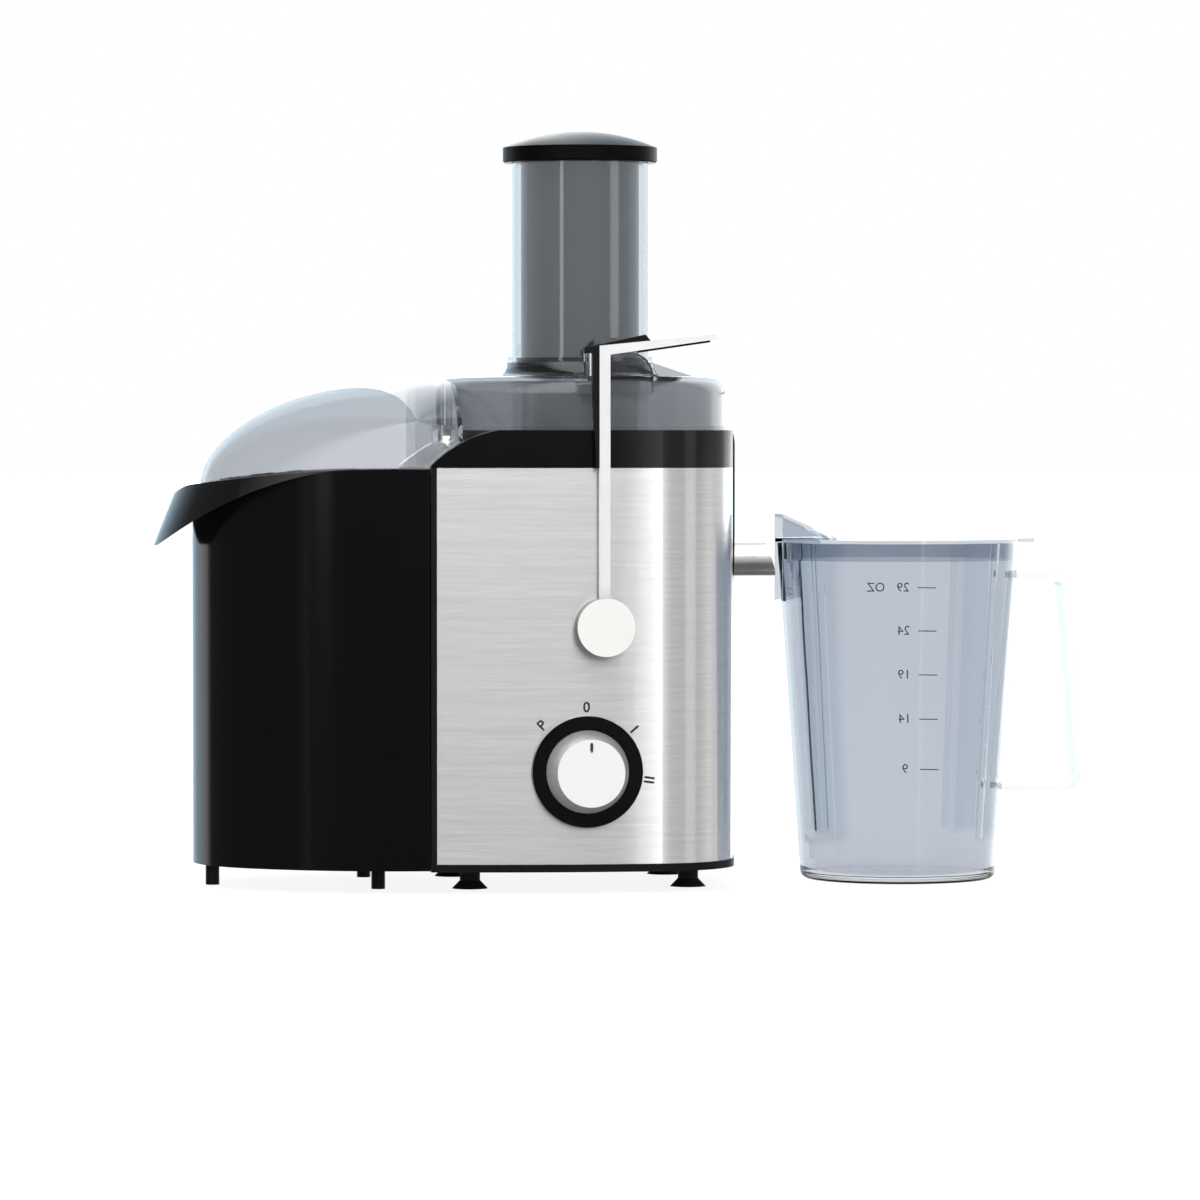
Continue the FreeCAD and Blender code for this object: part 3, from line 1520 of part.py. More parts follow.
def make_brushes():
    holders = []
    brushes = []
    deep = s.brush_width
    floor = low_bracket_z + s.bracket_thick
    middle = floor + s.commutator_gap + s.commutator_height / 2
    start = s.commutator_radius + s.seat_gap
    for side in (-1, 1):
        low_x = start if side > 0 else -start - s.brush_length
        brushes.append(box(low_x, -deep / 2, middle - deep / 2, s.brush_length, deep, deep))
        case_x = start + s.holder_gap
        low_x = case_x if side > 0 else -case_x - s.brush_length
        case = box(low_x, -deep, floor, s.brush_length, 2 * deep, middle + deep * 0.75 - floor)
        gap = s.fit_gap
        tunnel = box(low_x - 1, -deep / 2 - gap, middle - deep / 2 - gap, s.brush_length + 2,
                     deep + 2 * gap, deep + 2 * gap)
        holders.append(cut(case, tunnel))
    node(fuse(*holders), "brush_holders")
    node(fuse(*brushes), "brushes")


# --- rotor ---

shaft_bottom = s.foot_height + s.shaft_bottom_rise
coupling_z = deck_top + s.spigot_height + s.coupling_lift
bore_radius = s.shaft_radius + s.fit_gap


def polar(body, original, occurrences):
    """Repeat a feature evenly about the body's upright axis."""
    made = body.newObject("PartDesign::PolarPattern", "repeat")
    made.Originals = [original]
    for axis in body.Origin.OriginFeatures:
        if axis.Role == "Z_Axis":
            made.Axis = (axis, [""])
    made.Angle = 360
    bind(made, "Occurrences", occurrences)
    body.Tip = made
    return made


def make_shaft_seal():
    outer = s.seal_radius - s.fit_gap
    inner = s.shaft_radius + s.seal_clearance
    turned("shaft_seal", [(inner, deck_top), (outer, deck_top), (outer, deck_top + s.seal_height),
                          (inner, deck_top + s.seal_height)])


def make_rotor():
    top = coupling_z + s.coupling_height - s.coupling_roof - s.fit_gap
    turned("motor_shaft", [(0, shaft_bottom), (s.shaft_radius, shaft_bottom), (s.shaft_radius, top),
                           (0, top)])
    core = new_body("armature_core")
    plan = new_sketch(core, "XY", stack_z)
    draw_circle(plan, 0, 0, s.armature_radius)
    draw_circle(plan, 0, 0, bore_radius)
    pad(core, plan, s.stack_height)
    slot = new_sketch(core, "XY", stack_z)
    draw_box(slot, s.armature_radius - s.slot_depth, -s.slot_width / 2, s.armature_radius + 1,
             s.slot_width / 2)
    polar(core, pocket(core, slot, back=True), s.armature_slots)
    low = stack_z - s.winding_height
    ends = [(low, s.winding_height - s.fit_gap), (stack_top + s.fit_gap, s.winding_height)]
    coils = []
    for z, height in ends:
        ring = cylinder(s.armature_radius - s.slot_depth + 2, height, 0, 0, z)
        coils.append(cut(ring, cylinder(bore_radius, 2 * s.winding_height, 0, 0, z - 1)))
    node(fuse(*coils), "armature_windings")
    commutator_z = low_bracket_z + s.bracket_thick + s.commutator_gap
    commutator = new_body("commutator")
    plan = new_sketch(commutator, "XY", commutator_z)
    draw_circle(plan, 0, 0, s.commutator_radius)
    draw_circle(plan, 0, 0, bore_radius)
    pad(commutator, plan, s.commutator_height)
    groove = new_sketch(commutator, "XY", commutator_z)
    draw_box(groove, s.commutator_radius - 1, -0.3, s.commutator_radius + 1, 0.3)
    polar(commutator, pocket(commutator, groove, back=True), s.armature_slots)


def make_cooling_fan():
    body = new_body("cooling_fan")
    low = shaft_bottom + 1
    plate = new_sketch(body, "XY", low + s.fan_height - s.fan_plate)
    draw_circle(plate, 0, 0, s.fan_radius)
    draw_circle(plate, 0, 0, bore_radius)
    pad(body, plate, s.fan_plate)
    hub = new_sketch(body, "XY", low)
    draw_circle(hub, 0, 0, s.fan_hub_radius)
    draw_circle(hub, 0, 0, bore_radius)
    pad(body, hub, s.fan_height)
    blade = new_sketch(body, "XY", low)
    draw_box(blade, s.fan_hub_radius - 1, -s.fan_plate / 2, s.fan_radius - 0.5, s.fan_plate / 2)
    polar(body, pad(body, blade, s.fan_height - s.fan_plate / 2), s.fan_blades)


def make_drive_coupling():
    body = new_body("drive_coupling")
    plan = new_sketch(body, "XY", coupling_z)
    draw_circle(plan, 0, 0, s.coupling_radius)
    pad(body, plan, s.coupling_height)
    bore = draw_circle(new_sketch(body, "XY", coupling_z), 0, 0, bore_radius)
    pocket(body, bore, s.coupling_height - s.coupling_roof, back=True)
    spline = new_sketch(body, "XY", coupling_z + s.coupling_height)
    draw_box(spline, s.coupling_radius - 1.6, -0.8, s.coupling_radius + 1, 0.8)
    polar(body, pocket(body, spline, s.coupling_height - 4), s.coupling_splines)


# --- filter basket ---

frame_top = collar_top - s.basket_drop
screen_top = frame_top - s.basket_rim_height
screen_low = disc_z + s.disc_thick / 2


def make_basket_frame():
    foot_low = disc_z - s.basket_foot_thick
    wall = s.basket_wall
    foot = s.disc_radius + s.frame_lip
    cone_low = foot + s.fit_gap
    cone_high = s.basket_cone_radius + wall + s.fit_gap
    body = turned("basket_frame", [
        (0, foot_low), (cone_low + wall, foot_low), (cone_low + wall, disc_z), (0, disc_z),
    ])
    rim = new_sketch(body, "XZ")
    draw(rim, [
        (cone_high, screen_top), (s.basket_rim_radius, screen_top), (s.basket_rim_radius, frame_top),
        (s.basket_rim_radius - wall, frame_top), (cone_high - wall, screen_top + wall),
        (cone_high - wall, screen_top + s.fit_gap), (cone_high, screen_top + s.fit_gap),
    ])
    turn_about(body, rim)
    rib = new_sketch(body, "XZ")
    draw(rib, [
        (cone_low + wall, foot_low), (cone_low + wall + s.rib_depth, foot_low),
        (cone_high + s.rib_depth, screen_top + 1), (cone_high, screen_top + 1),
        (cone_low + s.fit_gap, disc_z), (cone_low, disc_z - 0.5),
    ])
    polar(body, pad(body, rib, s.basket_rib_width, symmetric=True), s.basket_ribs)


def make_filter_screen():
    wall = s.screen_wall
    foot = s.disc_radius + s.fit_gap
    body = turned("filter_screen", [
        (foot, disc_z), (foot + wall, disc_z), (s.basket_cone_radius + wall, screen_top),
        (s.basket_cone_radius, screen_top),
    ])
    slots = new_sketch(body, "XZ", s.fit_gap)
    pitch = (screen_top - disc_z) / s.screen_rows
    for row in range(int(s.screen_rows.value)):
        low = disc_z + pitch * row + s.screen_slot_gap
        draw_box(slots, -s.screen_slot_width / 2, low, s.screen_slot_width / 2,
                 low + pitch - 2 * s.screen_slot_gap)
    polar(body, pocket(body, slots, back=True), s.screen_slots)


def make_grater_disc():
    body = new_body("grater_disc")
    plan = draw_circle(new_sketch(body, "XY", disc_z), 0, 0, s.disc_radius)
    pad(body, plan, s.disc_thick)
    row = new_sketch(body, "XY", disc_z + s.disc_thick)
    count = int(s.teeth_per_row.value)
    pitch = (s.disc_radius - s.teeth_start) / count
    for number in range(count):
        x = s.teeth_start + pitch * number
        lean = s.tooth_length * (number % 2) / 2
        draw(row, [(x, lean), (x + s.tooth_length, lean), (x + s.tooth_length / 2, lean + s.tooth_length)])
    teeth = pad(body, row, s.tooth_height)
    teeth.TaperAngle = -s.tooth_taper.value
    polar(body, teeth, s.tooth_rows)


def make_basket_hub():
    inner = s.coupling_radius + s.fit_gap
    outer = s.coupling_radius + s.hub_wall
    low = coupling_z + 1
    top = disc_z - s.basket_foot_thick
    roof = coupling_z + s.coupling_height + s.fit_gap
    turned("basket_hub", [(inner, low), (outer, low), (outer, top), (0, top), (0, roof), (inner, roof)])


# --- jug ---

def jug_outer(z):
    return s.jug_foot_radius + (s.jug_radius - s.jug_foot_radius) * z / s.jug_height


def jug_inner(z):
    return jug_outer(z) - s.jug_wall


notch_low = s.jug_height - s.jug_notch_drop


def flute(turn):
    """A rounded groove down the jug's tapering wall, turned from the -X side about its axis."""
    body = doc.addObject("PartDesign::Body", "flute")
    sections = []
    for level in (s.flute_low, notch_low + s.jug_notch_drop + 1):
        reach = jug_outer(level) + s.flute_radius - s.flute_depth
        section = new_sketch(body, "XY", level)
        sections.append(draw_circle(section, reach * cosine(turn), reach * sine(turn), s.flute_radius))
    made = feature(body, "AdditiveLoft", sections[0])
    made.Sections = [sections[1]]
    return body


def make_jug_body():
    wall = s.jug_wall
    curve = s.jug_foot_curve
    floor = s.jug_floor
    body = doc.addObject("PartDesign::Body", "shell")
    turn_about(body, draw(new_sketch(body, "XZ"), [
        (0, s.jug_foot_lift), (jug_outer(0) - 2 * curve, s.jug_foot_lift),
        (jug_outer(0) - curve - 1, 0), (jug_outer(0) - curve, 0, curve * 1.05),
        (jug_outer(curve), curve), (s.jug_radius, s.jug_height), (jug_inner(s.jug_height), s.jug_height),
        (jug_inner(floor + curve), floor + curve, -curve), (jug_inner(floor) - curve, floor + s.jug_foot_lift),
        (0, floor + s.jug_foot_lift),
    ]))
    notch = new_sketch(body, "YZ")
    draw_box(notch, -s.jug_notch_half, notch_low, s.jug_notch_half, s.jug_height + 1)
    pocket(body, notch)
    flutes = [flute(side * (90 + angle)) for side in (-1, 1)
              for angle in (s.flute_left_turn, -s.flute_right_turn)]
    node(cut(body, *flutes), "jug_body", s.jug_x)


def handle_outline(inset, start):
    top = s.jug_height - s.handle_top_drop - inset
    low = s.handle_bottom_rise + inset
    curve = s.handle_corner - inset
    high_x = s.handle_top_reach - inset
    low_x = s.handle_low_reach - inset
    return [
        (start, low), (low_x - curve, low, curve * 1.02), (low_x, low + curve),
        (high_x, top - curve, curve * 1.02), (high_x - curve, top), (start, top),
    ]


def make_jug_handle():
    start = s.jug_foot_radius / 2
    body = doc.addObject("PartDesign::Body", "strip")
    pad(body, draw(new_sketch(body, "XZ"), handle_outline(0, start)), s.handle_width, symmetric=True)
    room = draw(new_sketch(body, "XZ"), handle_outline(s.handle_bar, start - 1))
    pocket(body, room, s.handle_width + 2, symmetric=True)
    jug = cone(s.jug_foot_radius + s.fit_gap, s.jug_radius + s.fit_gap, s.jug_height)
    node(cut(body, jug), "jug_handle", s.jug_x)


def make_jug_lid():
    low = s.jug_height + s.jug_lid_gap
    top = low + s.jug_lid_thick
    radius = s.jug_radius + s.jug_lid_overlap
    skirt_low = s.jug_height - s.jug_skirt_height
    skirt = jug_inner(skirt_low) - s.jug_skirt_gap
    body = turned("jug_lid", [
        (skirt, low), (radius, low), (radius, top), (0, top), (0, low), (skirt - s.jug_skirt_wall, low),
        (skirt - s.jug_skirt_wall, skirt_low), (skirt, skirt_low),
    ])
    bind(body, "Placement.Base.x", s.machine_x + s.jug_x)
    tab = new_sketch(body, "XY", low)
    draw_box(tab, radius - 2, -s.lid_tab_width / 2, radius + s.lid_tab_length, s.lid_tab_width / 2)
    pad(body, tab, s.jug_lid_thick)
    mouth = new_sketch(body, "XY", low)
    open_end = s.inlet_start - s.inlet_length + s.inlet_wall
    draw_box(mouth, -radius - 1, -s.inlet_half + s.inlet_wall, -open_end, s.inlet_half - s.inlet_wall)
    pocket(body, mouth, 4 * s.jug_skirt_height, symmetric=True)
    end = s.inlet_start - s.inlet_length
    cheeks = new_sketch(body, "XZ")
    draw(cheeks, [(-s.inlet_start, low), (-end, low), (-end, top), (-s.inlet_start, top + s.inlet_height)])
    pad(body, cheeks, 2 * s.inlet_half, symmetric=True)
    drop = new_sketch(body, "XZ")
    cheek_low = low - s.inlet_cheek_drop
    draw(drop, [
        (-s.inlet_start, low), (-s.inlet_start, cheek_low),
        (s.inlet_cheek_length - s.inlet_start, cheek_low + s.inlet_cheek_slant),
        (s.inlet_cheek_length - s.inlet_start, low),
    ])
    pad(body, drop, 2 * s.inlet_half, symmetric=True)
    inside = new_sketch(body, "XZ")
    fall = s.inlet_height / s.inlet_length
    roof = s.inlet_wall * 1.08
    far_x = -open_end
    draw(inside, [
        (-s.inlet_start - 1, cheek_low - 20), (far_x, cheek_low - 20),
        (far_x, top + fall * s.inlet_wall - roof), (-s.inlet_start - 1, top + s.inlet_height + fall - roof),
    ])
    pocket(body, inside, 2 * (s.inlet_half - s.inlet_wall), symmetric=True)


# --- everything ---

for make in (
    make_base_housing, make_steel_wrap, make_base_plate, make_suction_cups, make_base_screws,
    make_top_collar, make_juice_bowl, make_spout_shield, make_juice_spout, make_lid, make_feed_chute,
    make_chute_ring, make_pulp_hood, make_pusher, make_pulp_container, make_container_posts,
    make_locking_arm, make_grip_pad, make_arm_pivot_discs, make_arm_clamps, make_clamp_pads,
    make_pivot_pins, make_knob,
    make_cord_gland, make_safety_switch, make_stator, make_field_windings, make_motor_frame,
    make_brushes, make_shaft_seal, make_rotor, make_cooling_fan, make_drive_coupling,
    make_basket_frame, make_filter_screen, make_grater_disc, make_basket_hub, make_jug_body,
    make_jug_handle, make_jug_lid,
):
    make()

doc.recompute()
for thing in doc.Objects:
    for problem in ("Invalid", "Error"):
        if problem in thing.State:
            raise RuntimeError("%s (%s) is %s" % (thing.Name, thing.Label, problem))
os.makedirs("parts", exist_ok=True)
for thing in nodes:
    shape = thing.Shape
    if shape.isNull() or not shape.isValid():
        raise RuntimeError("%s has no valid shape" % thing.Label)
    shape.exportStep("parts/%s.step" % thing.Label)
    print("%-18s %8.1f cm3  %d solid(s)" % (thing.Label, shape.Volume / 1000, len(shape.Solids)))
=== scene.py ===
import math

import bmesh
import bpy
from mathutils import Matrix, Vector
from mathutils.bvhtree import BVHTree


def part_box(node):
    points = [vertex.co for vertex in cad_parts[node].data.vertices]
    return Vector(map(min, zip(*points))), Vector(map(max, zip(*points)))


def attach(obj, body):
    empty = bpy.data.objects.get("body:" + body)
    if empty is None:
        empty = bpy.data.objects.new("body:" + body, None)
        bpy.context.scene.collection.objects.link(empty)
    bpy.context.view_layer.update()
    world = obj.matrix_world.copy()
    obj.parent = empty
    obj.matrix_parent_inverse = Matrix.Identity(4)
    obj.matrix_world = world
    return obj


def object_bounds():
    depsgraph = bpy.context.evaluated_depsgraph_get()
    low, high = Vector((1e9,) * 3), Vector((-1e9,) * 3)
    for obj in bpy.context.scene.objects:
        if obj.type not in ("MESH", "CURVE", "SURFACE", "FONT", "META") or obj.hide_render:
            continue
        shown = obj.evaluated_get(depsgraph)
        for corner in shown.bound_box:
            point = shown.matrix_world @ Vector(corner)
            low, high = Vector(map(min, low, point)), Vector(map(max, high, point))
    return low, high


# Centrifugal juicer: finishes, printed marks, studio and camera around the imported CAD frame.
# Metres, +Z up, -Y is the knob side.

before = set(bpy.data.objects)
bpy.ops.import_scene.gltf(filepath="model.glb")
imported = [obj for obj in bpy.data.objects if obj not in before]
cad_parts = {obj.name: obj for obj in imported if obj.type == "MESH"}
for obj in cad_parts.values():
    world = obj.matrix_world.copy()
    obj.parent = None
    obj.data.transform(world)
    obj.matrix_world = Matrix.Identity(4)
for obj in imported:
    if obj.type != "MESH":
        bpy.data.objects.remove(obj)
cad_low, cad_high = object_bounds()

MM = 0.001


# --- materials ---

# Sockets of a colour mix node.
MIX_A, MIX_B, MIX_COLOUR = 6, 7, 2

# Where a tone sets in and is full: by how far a wall faces along y or along x, and by height. The
# rim and flank tones, set by facing, are painted shade.
RIM_SHADE_TURN = (0.75, 0.6)
FLANK_SHADE_TURN = (0.62, 0.70)
FLANK_SHADE_END = (0.96, 0.90)
JUG_FOOT = (20 * MM, 26 * MM)
LID_SHOULDER = (262 * MM, 266 * MM)


def add_node(tree, kind, operation=None, **inputs):
    """A shader node with its inputs set, by value or from another node's output. An input is named,
    or _0, _1 and so on by its place."""
    made = tree.nodes.new(kind)
    if operation:
        made.operation = operation
    for name, value in inputs.items():
        socket = made.inputs[int(name[1:]) if name[0] == "_" else name.replace("_", " ")]
        if hasattr(value, "links"):
            tree.links.new(value, socket)
        else:
            socket.default_value = value
    return made


def mix_colours(tree, share, low, high):
    """The colour low where share is 0, high where it is 1."""
    made = tree.nodes.new("ShaderNodeMix")
    made.data_type = "RGBA"
    tree.links.new(share, made.inputs["Factor"])
    for index, tone in ((MIX_A, low), (MIX_B, high)):
        if hasattr(tone, "links"):
            tree.links.new(tone, made.inputs[index])
        else:
            made.inputs[index].default_value = (*tone, 1.0)
    return made.outputs[MIX_COLOUR]


def maths(tree, operation, *values):
    inputs = {f"_{place}": value for place, value in enumerate(values)}
    return add_node(tree, "ShaderNodeMath", operation, **inputs).outputs[0]


def between(tree, source, span=(0.0, 1.0), low=0.0, high=1.0):
    """low where the source is at the span's start, high where it is at its end."""
    made = add_node(tree, "ShaderNodeMapRange", Value=source, From_Min=span[0], From_Max=span[1],
                    To_Min=low, To_Max=high)
    return made.outputs["Result"]


class Finish:
    """A Principled material with the nodes that its detail needs. Patterns are in metres."""

    def __init__(self, name, colour, roughness, metallic=0.0, **sockets):
        self.material = bpy.data.materials.new(name)
        self.material.use_nodes = True
        self.tree = self.material.node_tree
        self.shader = self.tree.nodes["Principled BSDF"]
        self.place = self.tree.nodes.new("ShaderNodeTexCoord").outputs["Object"]
        self.colour = colour
        self.roughness = roughness
        self.shader.inputs["Base Color"].default_value = (*colour, 1.0)
        self.shader.inputs["Roughness"].default_value = roughness
        self.shader.inputs["Metallic"].default_value = metallic
        for socket, amount in sockets.items():
            self.shader.inputs[socket.replace("_", " ")].default_value = amount
        self.relief = None

    def join(self, source, target):
        self.tree.links.new(source, target)

    def node(self, kind, operation=None, **inputs):
        return add_node(self.tree, kind, operation, **inputs)

    def noise(self, scale, detail, stretch=(1, 1, 1)):
        """Noise whose features are about 1 / scale metres."""
        place = self.node("ShaderNodeMapping", Vector=self.place, Scale=stretch).outputs["Vector"]
        return self.node("ShaderNodeTexNoise", Vector=place, Scale=scale, Detail=detail,
                         Roughness=0.55).outputs["Fac"]

    def spots(self, scale):
        return self.node("ShaderNodeTexVoronoi", Vector=self.place, Scale=scale).outputs["Distance"]

    def waves(self, scale, direction="Z", distortion=0.0):
        made = self.node("ShaderNodeTexWave", Vector=self.place, Scale=scale, Distortion=distortion)
        made.bands_direction = direction
        return made.outputs["Fac"]

    def facing(self, axis):
        """How far the surface faces along an axis, either way."""
        normal = self.tree.nodes.new("ShaderNodeTexCoord").outputs["Normal"]
        along = self.node("ShaderNodeSeparateXYZ", Vector=normal).outputs[axis]
        return maths(self.tree, "ABSOLUTE", along)

    def height_above_floor(self):
        return self.node("ShaderNodeSeparateXYZ", Vector=self.place).outputs["Z"]

    def vary_roughness(self, source, amount):
        low, high = max(self.roughness - amount, 0.0), self.roughness + amount
        self.join(between(self.tree, source, low=low, high=high), self.shader.inputs["Roughness"])

    def vary_colour(self, source, amount):
        """Lightness moves by this share of the colour, down and up."""
        low = [part * (1 - amount) for part in self.colour]
        high = [min(part * (1 + amount), 1.0) for part in self.colour]
        self.join(mix_colours(self.tree, source, low, high), self.shader.inputs["Base Color"])

    def bump(self, source, strength, depth):
        """Adds relief of about depth metres; several reliefs stack."""
        made = self.node("ShaderNodeBump", Height=source, Strength=strength, Distance=depth)
        if self.relief:
            self.join(self.relief, made.inputs["Normal"])
        self.relief = made.outputs["Normal"]
        self.join(self.relief, self.shader.inputs["Normal"])


def moulded(name, colour, roughness, specular=0.5, painted_rim_shade=None):
    """Moulded plastic: a fine skin texture, broad unevenness in gloss and slight flow ripples.
    Walls that don't face along y take the rim shade if there is one: a painted shade on the side
    walls."""
    finish = Finish(name, colour, roughness, Specular_IOR_Level=specular)
    finish.vary_roughness(finish.noise(35, 4), roughness * 0.18)
    finish.vary_colour(finish.noise(18, 3), 0.06)
    finish.bump(finish.noise(1600, 2), 0.35, 0.006 * MM)
    finish.bump(finish.noise(24, 1), 0.2, 0.03 * MM)
    # Painted shade: walls that don't face along y, such as a pivot disc's side, are darkened to the
    # rim tone.
    if painted_rim_shade:
        share = between(finish.tree, finish.facing("Y"), RIM_SHADE_TURN)
        plain = finish.shader.inputs["Base Color"].links[0].from_socket
        tone = mix_colours(finish.tree, share, plain, painted_rim_shade)
        finish.join(tone, finish.shader.inputs["Base Color"])
    return finish.material


def clear(name, tint, painted_flank_shade=None, haze=0.0, ior=1.46):
    """Clear injection-moulded plastic with faint flow waves; haze is how cloudy a lid's side wall
    is. Walls that face along x, above the foot of a jug, take the flank shade if there is one,
    a painted shade, darker and bluer, on the jug's flanks."""
    finish = Finish(name, tint, 0.02, Transmission_Weight=1.0, IOR=ior)
    finish.vary_roughness(finish.noise(60, 3), 0.012)
    finish.bump(finish.noise(30, 1, (1, 1, 0.35)), 0.12, 0.12 * MM)
    height = finish.height_above_floor()
    if haze:
        cloud = between(finish.tree, height, LID_SHOULDER, 1.0 - haze, 1.0)
        finish.join(cloud, finish.shader.inputs["Transmission Weight"])
    # Painted shade: the jug's flanks are darkened and turned bluer where they face along x.
    if painted_flank_shade:
        sideways = finish.facing("X")
        side = maths(finish.tree, "MULTIPLY", between(finish.tree, sideways, FLANK_SHADE_TURN),
                     between(finish.tree, sideways, FLANK_SHADE_END))
        share = maths(finish.tree, "MULTIPLY", side, between(finish.tree, height, JUG_FOOT))
        tone = mix_colours(finish.tree, share, tint, painted_flank_shade)
        finish.join(tone, finish.shader.inputs["Base Color"])
    return finish.material


def brushed(name, colour, roughness):
    """Sheet metal with long, fine, level grain lines, which spread a reflection up and down."""
    finish = Finish(name, colour, roughness, metallic=1.0, Anisotropic=0.9,
                    Anisotropic_Rotation=0.25)
    level = finish.node("ShaderNodeTangent")
    level.direction_type = "RADIAL"
    level.axis = "Z"
    finish.join(level.outputs["Tangent"], finish.shader.inputs["Tangent"])
    fine = finish.noise(1.0, 5, (40, 40, 850))
    finish.vary_roughness(finish.noise(1.0, 3, (0.7, 0.7, 170)), roughness * 0.1)
    finish.vary_colour(fine, 0.1)
    finish.bump(fine, 0.5, 0.02 * MM)
    return finish.material


def polished(name, colour, roughness, metallic=1.0):
    finish = Finish(name, colour, roughness, metallic)
    finish.vary_roughness(finish.noise(90, 4), roughness * 0.4)
    finish.vary_colour(finish.noise(40, 2), 0.03)
    finish.bump(finish.noise(300, 3), 0.15, 0.01 * MM)
    return finish.material


def turned_metal(name, colour, roughness=0.3, metallic=1.0):
    """Metal with the ring marks of a lathe."""
    finish = Finish(name, colour, roughness, metallic)
    rings = finish.waves(420)
    finish.vary_roughness(rings, roughness * 0.2)
    finish.vary_colour(finish.noise(60, 3), 0.05)
    finish.bump(rings, 0.25, 0.02 * MM)
    return finish.material


def rubber(name, colour):
    finish = Finish(name, colour, 0.75, Specular_IOR_Level=0.3)
    finish.vary_colour(finish.noise(50, 4), 0.15)
    finish.bump(finish.noise(900, 3), 0.5, 0.04 * MM)
    return finish.material


def laminations(name):
    finish = Finish(name, (0.21, 0.21, 0.22), 0.45, metallic=0.8)
    sheets = finish.waves(320)
    finish.vary_colour(sheets, 0.35)
    finish.bump(sheets, 0.6, 0.1 * MM)
    return finish.material


def wound_wire(name):
    finish = Finish(name, (0.55, 0.21, 0.08), 0.35, metallic=0.7)
    turns = finish.waves(260, "DIAGONAL", 1.5)
    finish.vary_colour(turns, 0.4)
    finish.bump(turns, 0.8, 0.3 * MM)
    return finish.material


def punched_sheet(name):
    """Stainless sheet covered in rows of tiny holes."""
    finish = Finish(name, (0.6, 0.6, 0.61), 0.3, metallic=1.0)
    holes = between(finish.tree, finish.spots(700), low=1.0, high=0.0)
    finish.vary_colour(holes, 0.35)
    finish.bump(holes, 0.6, 0.1 * MM)
    return finish.material


def ink(name, colour):
    finish = Finish(name, colour, 0.5)
    finish.vary_colour(finish.noise(700, 3), 0.12)
    finish.vary_roughness(finish.noise(300, 2), 0.1)
    return finish.material


GLOSS_BLACK = moulded("gloss_black", (0.0042, 0.004, 0.0046), 0.12, 0.2)
COLLAR_BLACK = moulded("collar_black", (0.002, 0.002, 0.0022), 0.14, 0.33)
MATT_BLACK = moulded("matt_black", (0.002, 0.002, 0.0022), 0.4, 0.15)
SMOKED = clear("smoked_plastic", (0.485, 0.505, 0.54), haze=0.2)
CLEAR = clear("clear_plastic", (0.70, 0.72, 0.75))
CHUTE_CLEAR = clear("chute_clear", (0.81, 0.88, 0.93))
# The jug's flanks carry a painted shade.
JUG_CLEAR = clear("jug_clear", (0.69, 0.715, 0.76), painted_flank_shade=(0.56, 0.62, 0.68), ior=1.3)
JUG_SMOKED = clear("jug_smoked", (0.62, 0.66, 0.71))
HANDLE_CLEAR = clear("handle_clear", (0.86, 0.88, 0.90))
PUSHER_GREY = moulded("pusher_grey", (0.150, 0.134, 0.129), 0.08, 0.9)
FOOT_GREY = moulded("foot_grey", (0.6, 0.6, 0.6), 0.3, 0.5)
CAP_BLACK = moulded("cap_black", (0.0025, 0.0025, 0.0028), 0.3, 0.05)
WHITE_GLOSS = moulded("white_gloss", (0.90, 0.90, 0.90), 0.22, 0.5)
# The pivot discs' side walls carry a painted shade.
WHITE_SATIN = moulded("white_satin", (0.90, 0.895, 0.87), 0.38, 0.4, painted_rim_shade=(0.10, 0.10, 0.10))
STEEL = brushed("brushed_steel", (0.70, 0.70, 0.702), 0.22)
BAIL = polished("bail_metal", (0.94, 0.94, 0.94), 0.2, 0.36)
KNOB_GREY = turned_metal("knob_grey", (0.70, 0.70, 0.71), 0.35, 0.6)
DARK_INK = ink("dark_ink", (0.01, 0.01, 0.011))
SCALE_INK = ink("scale_ink", (0.10, 0.11, 0.14))

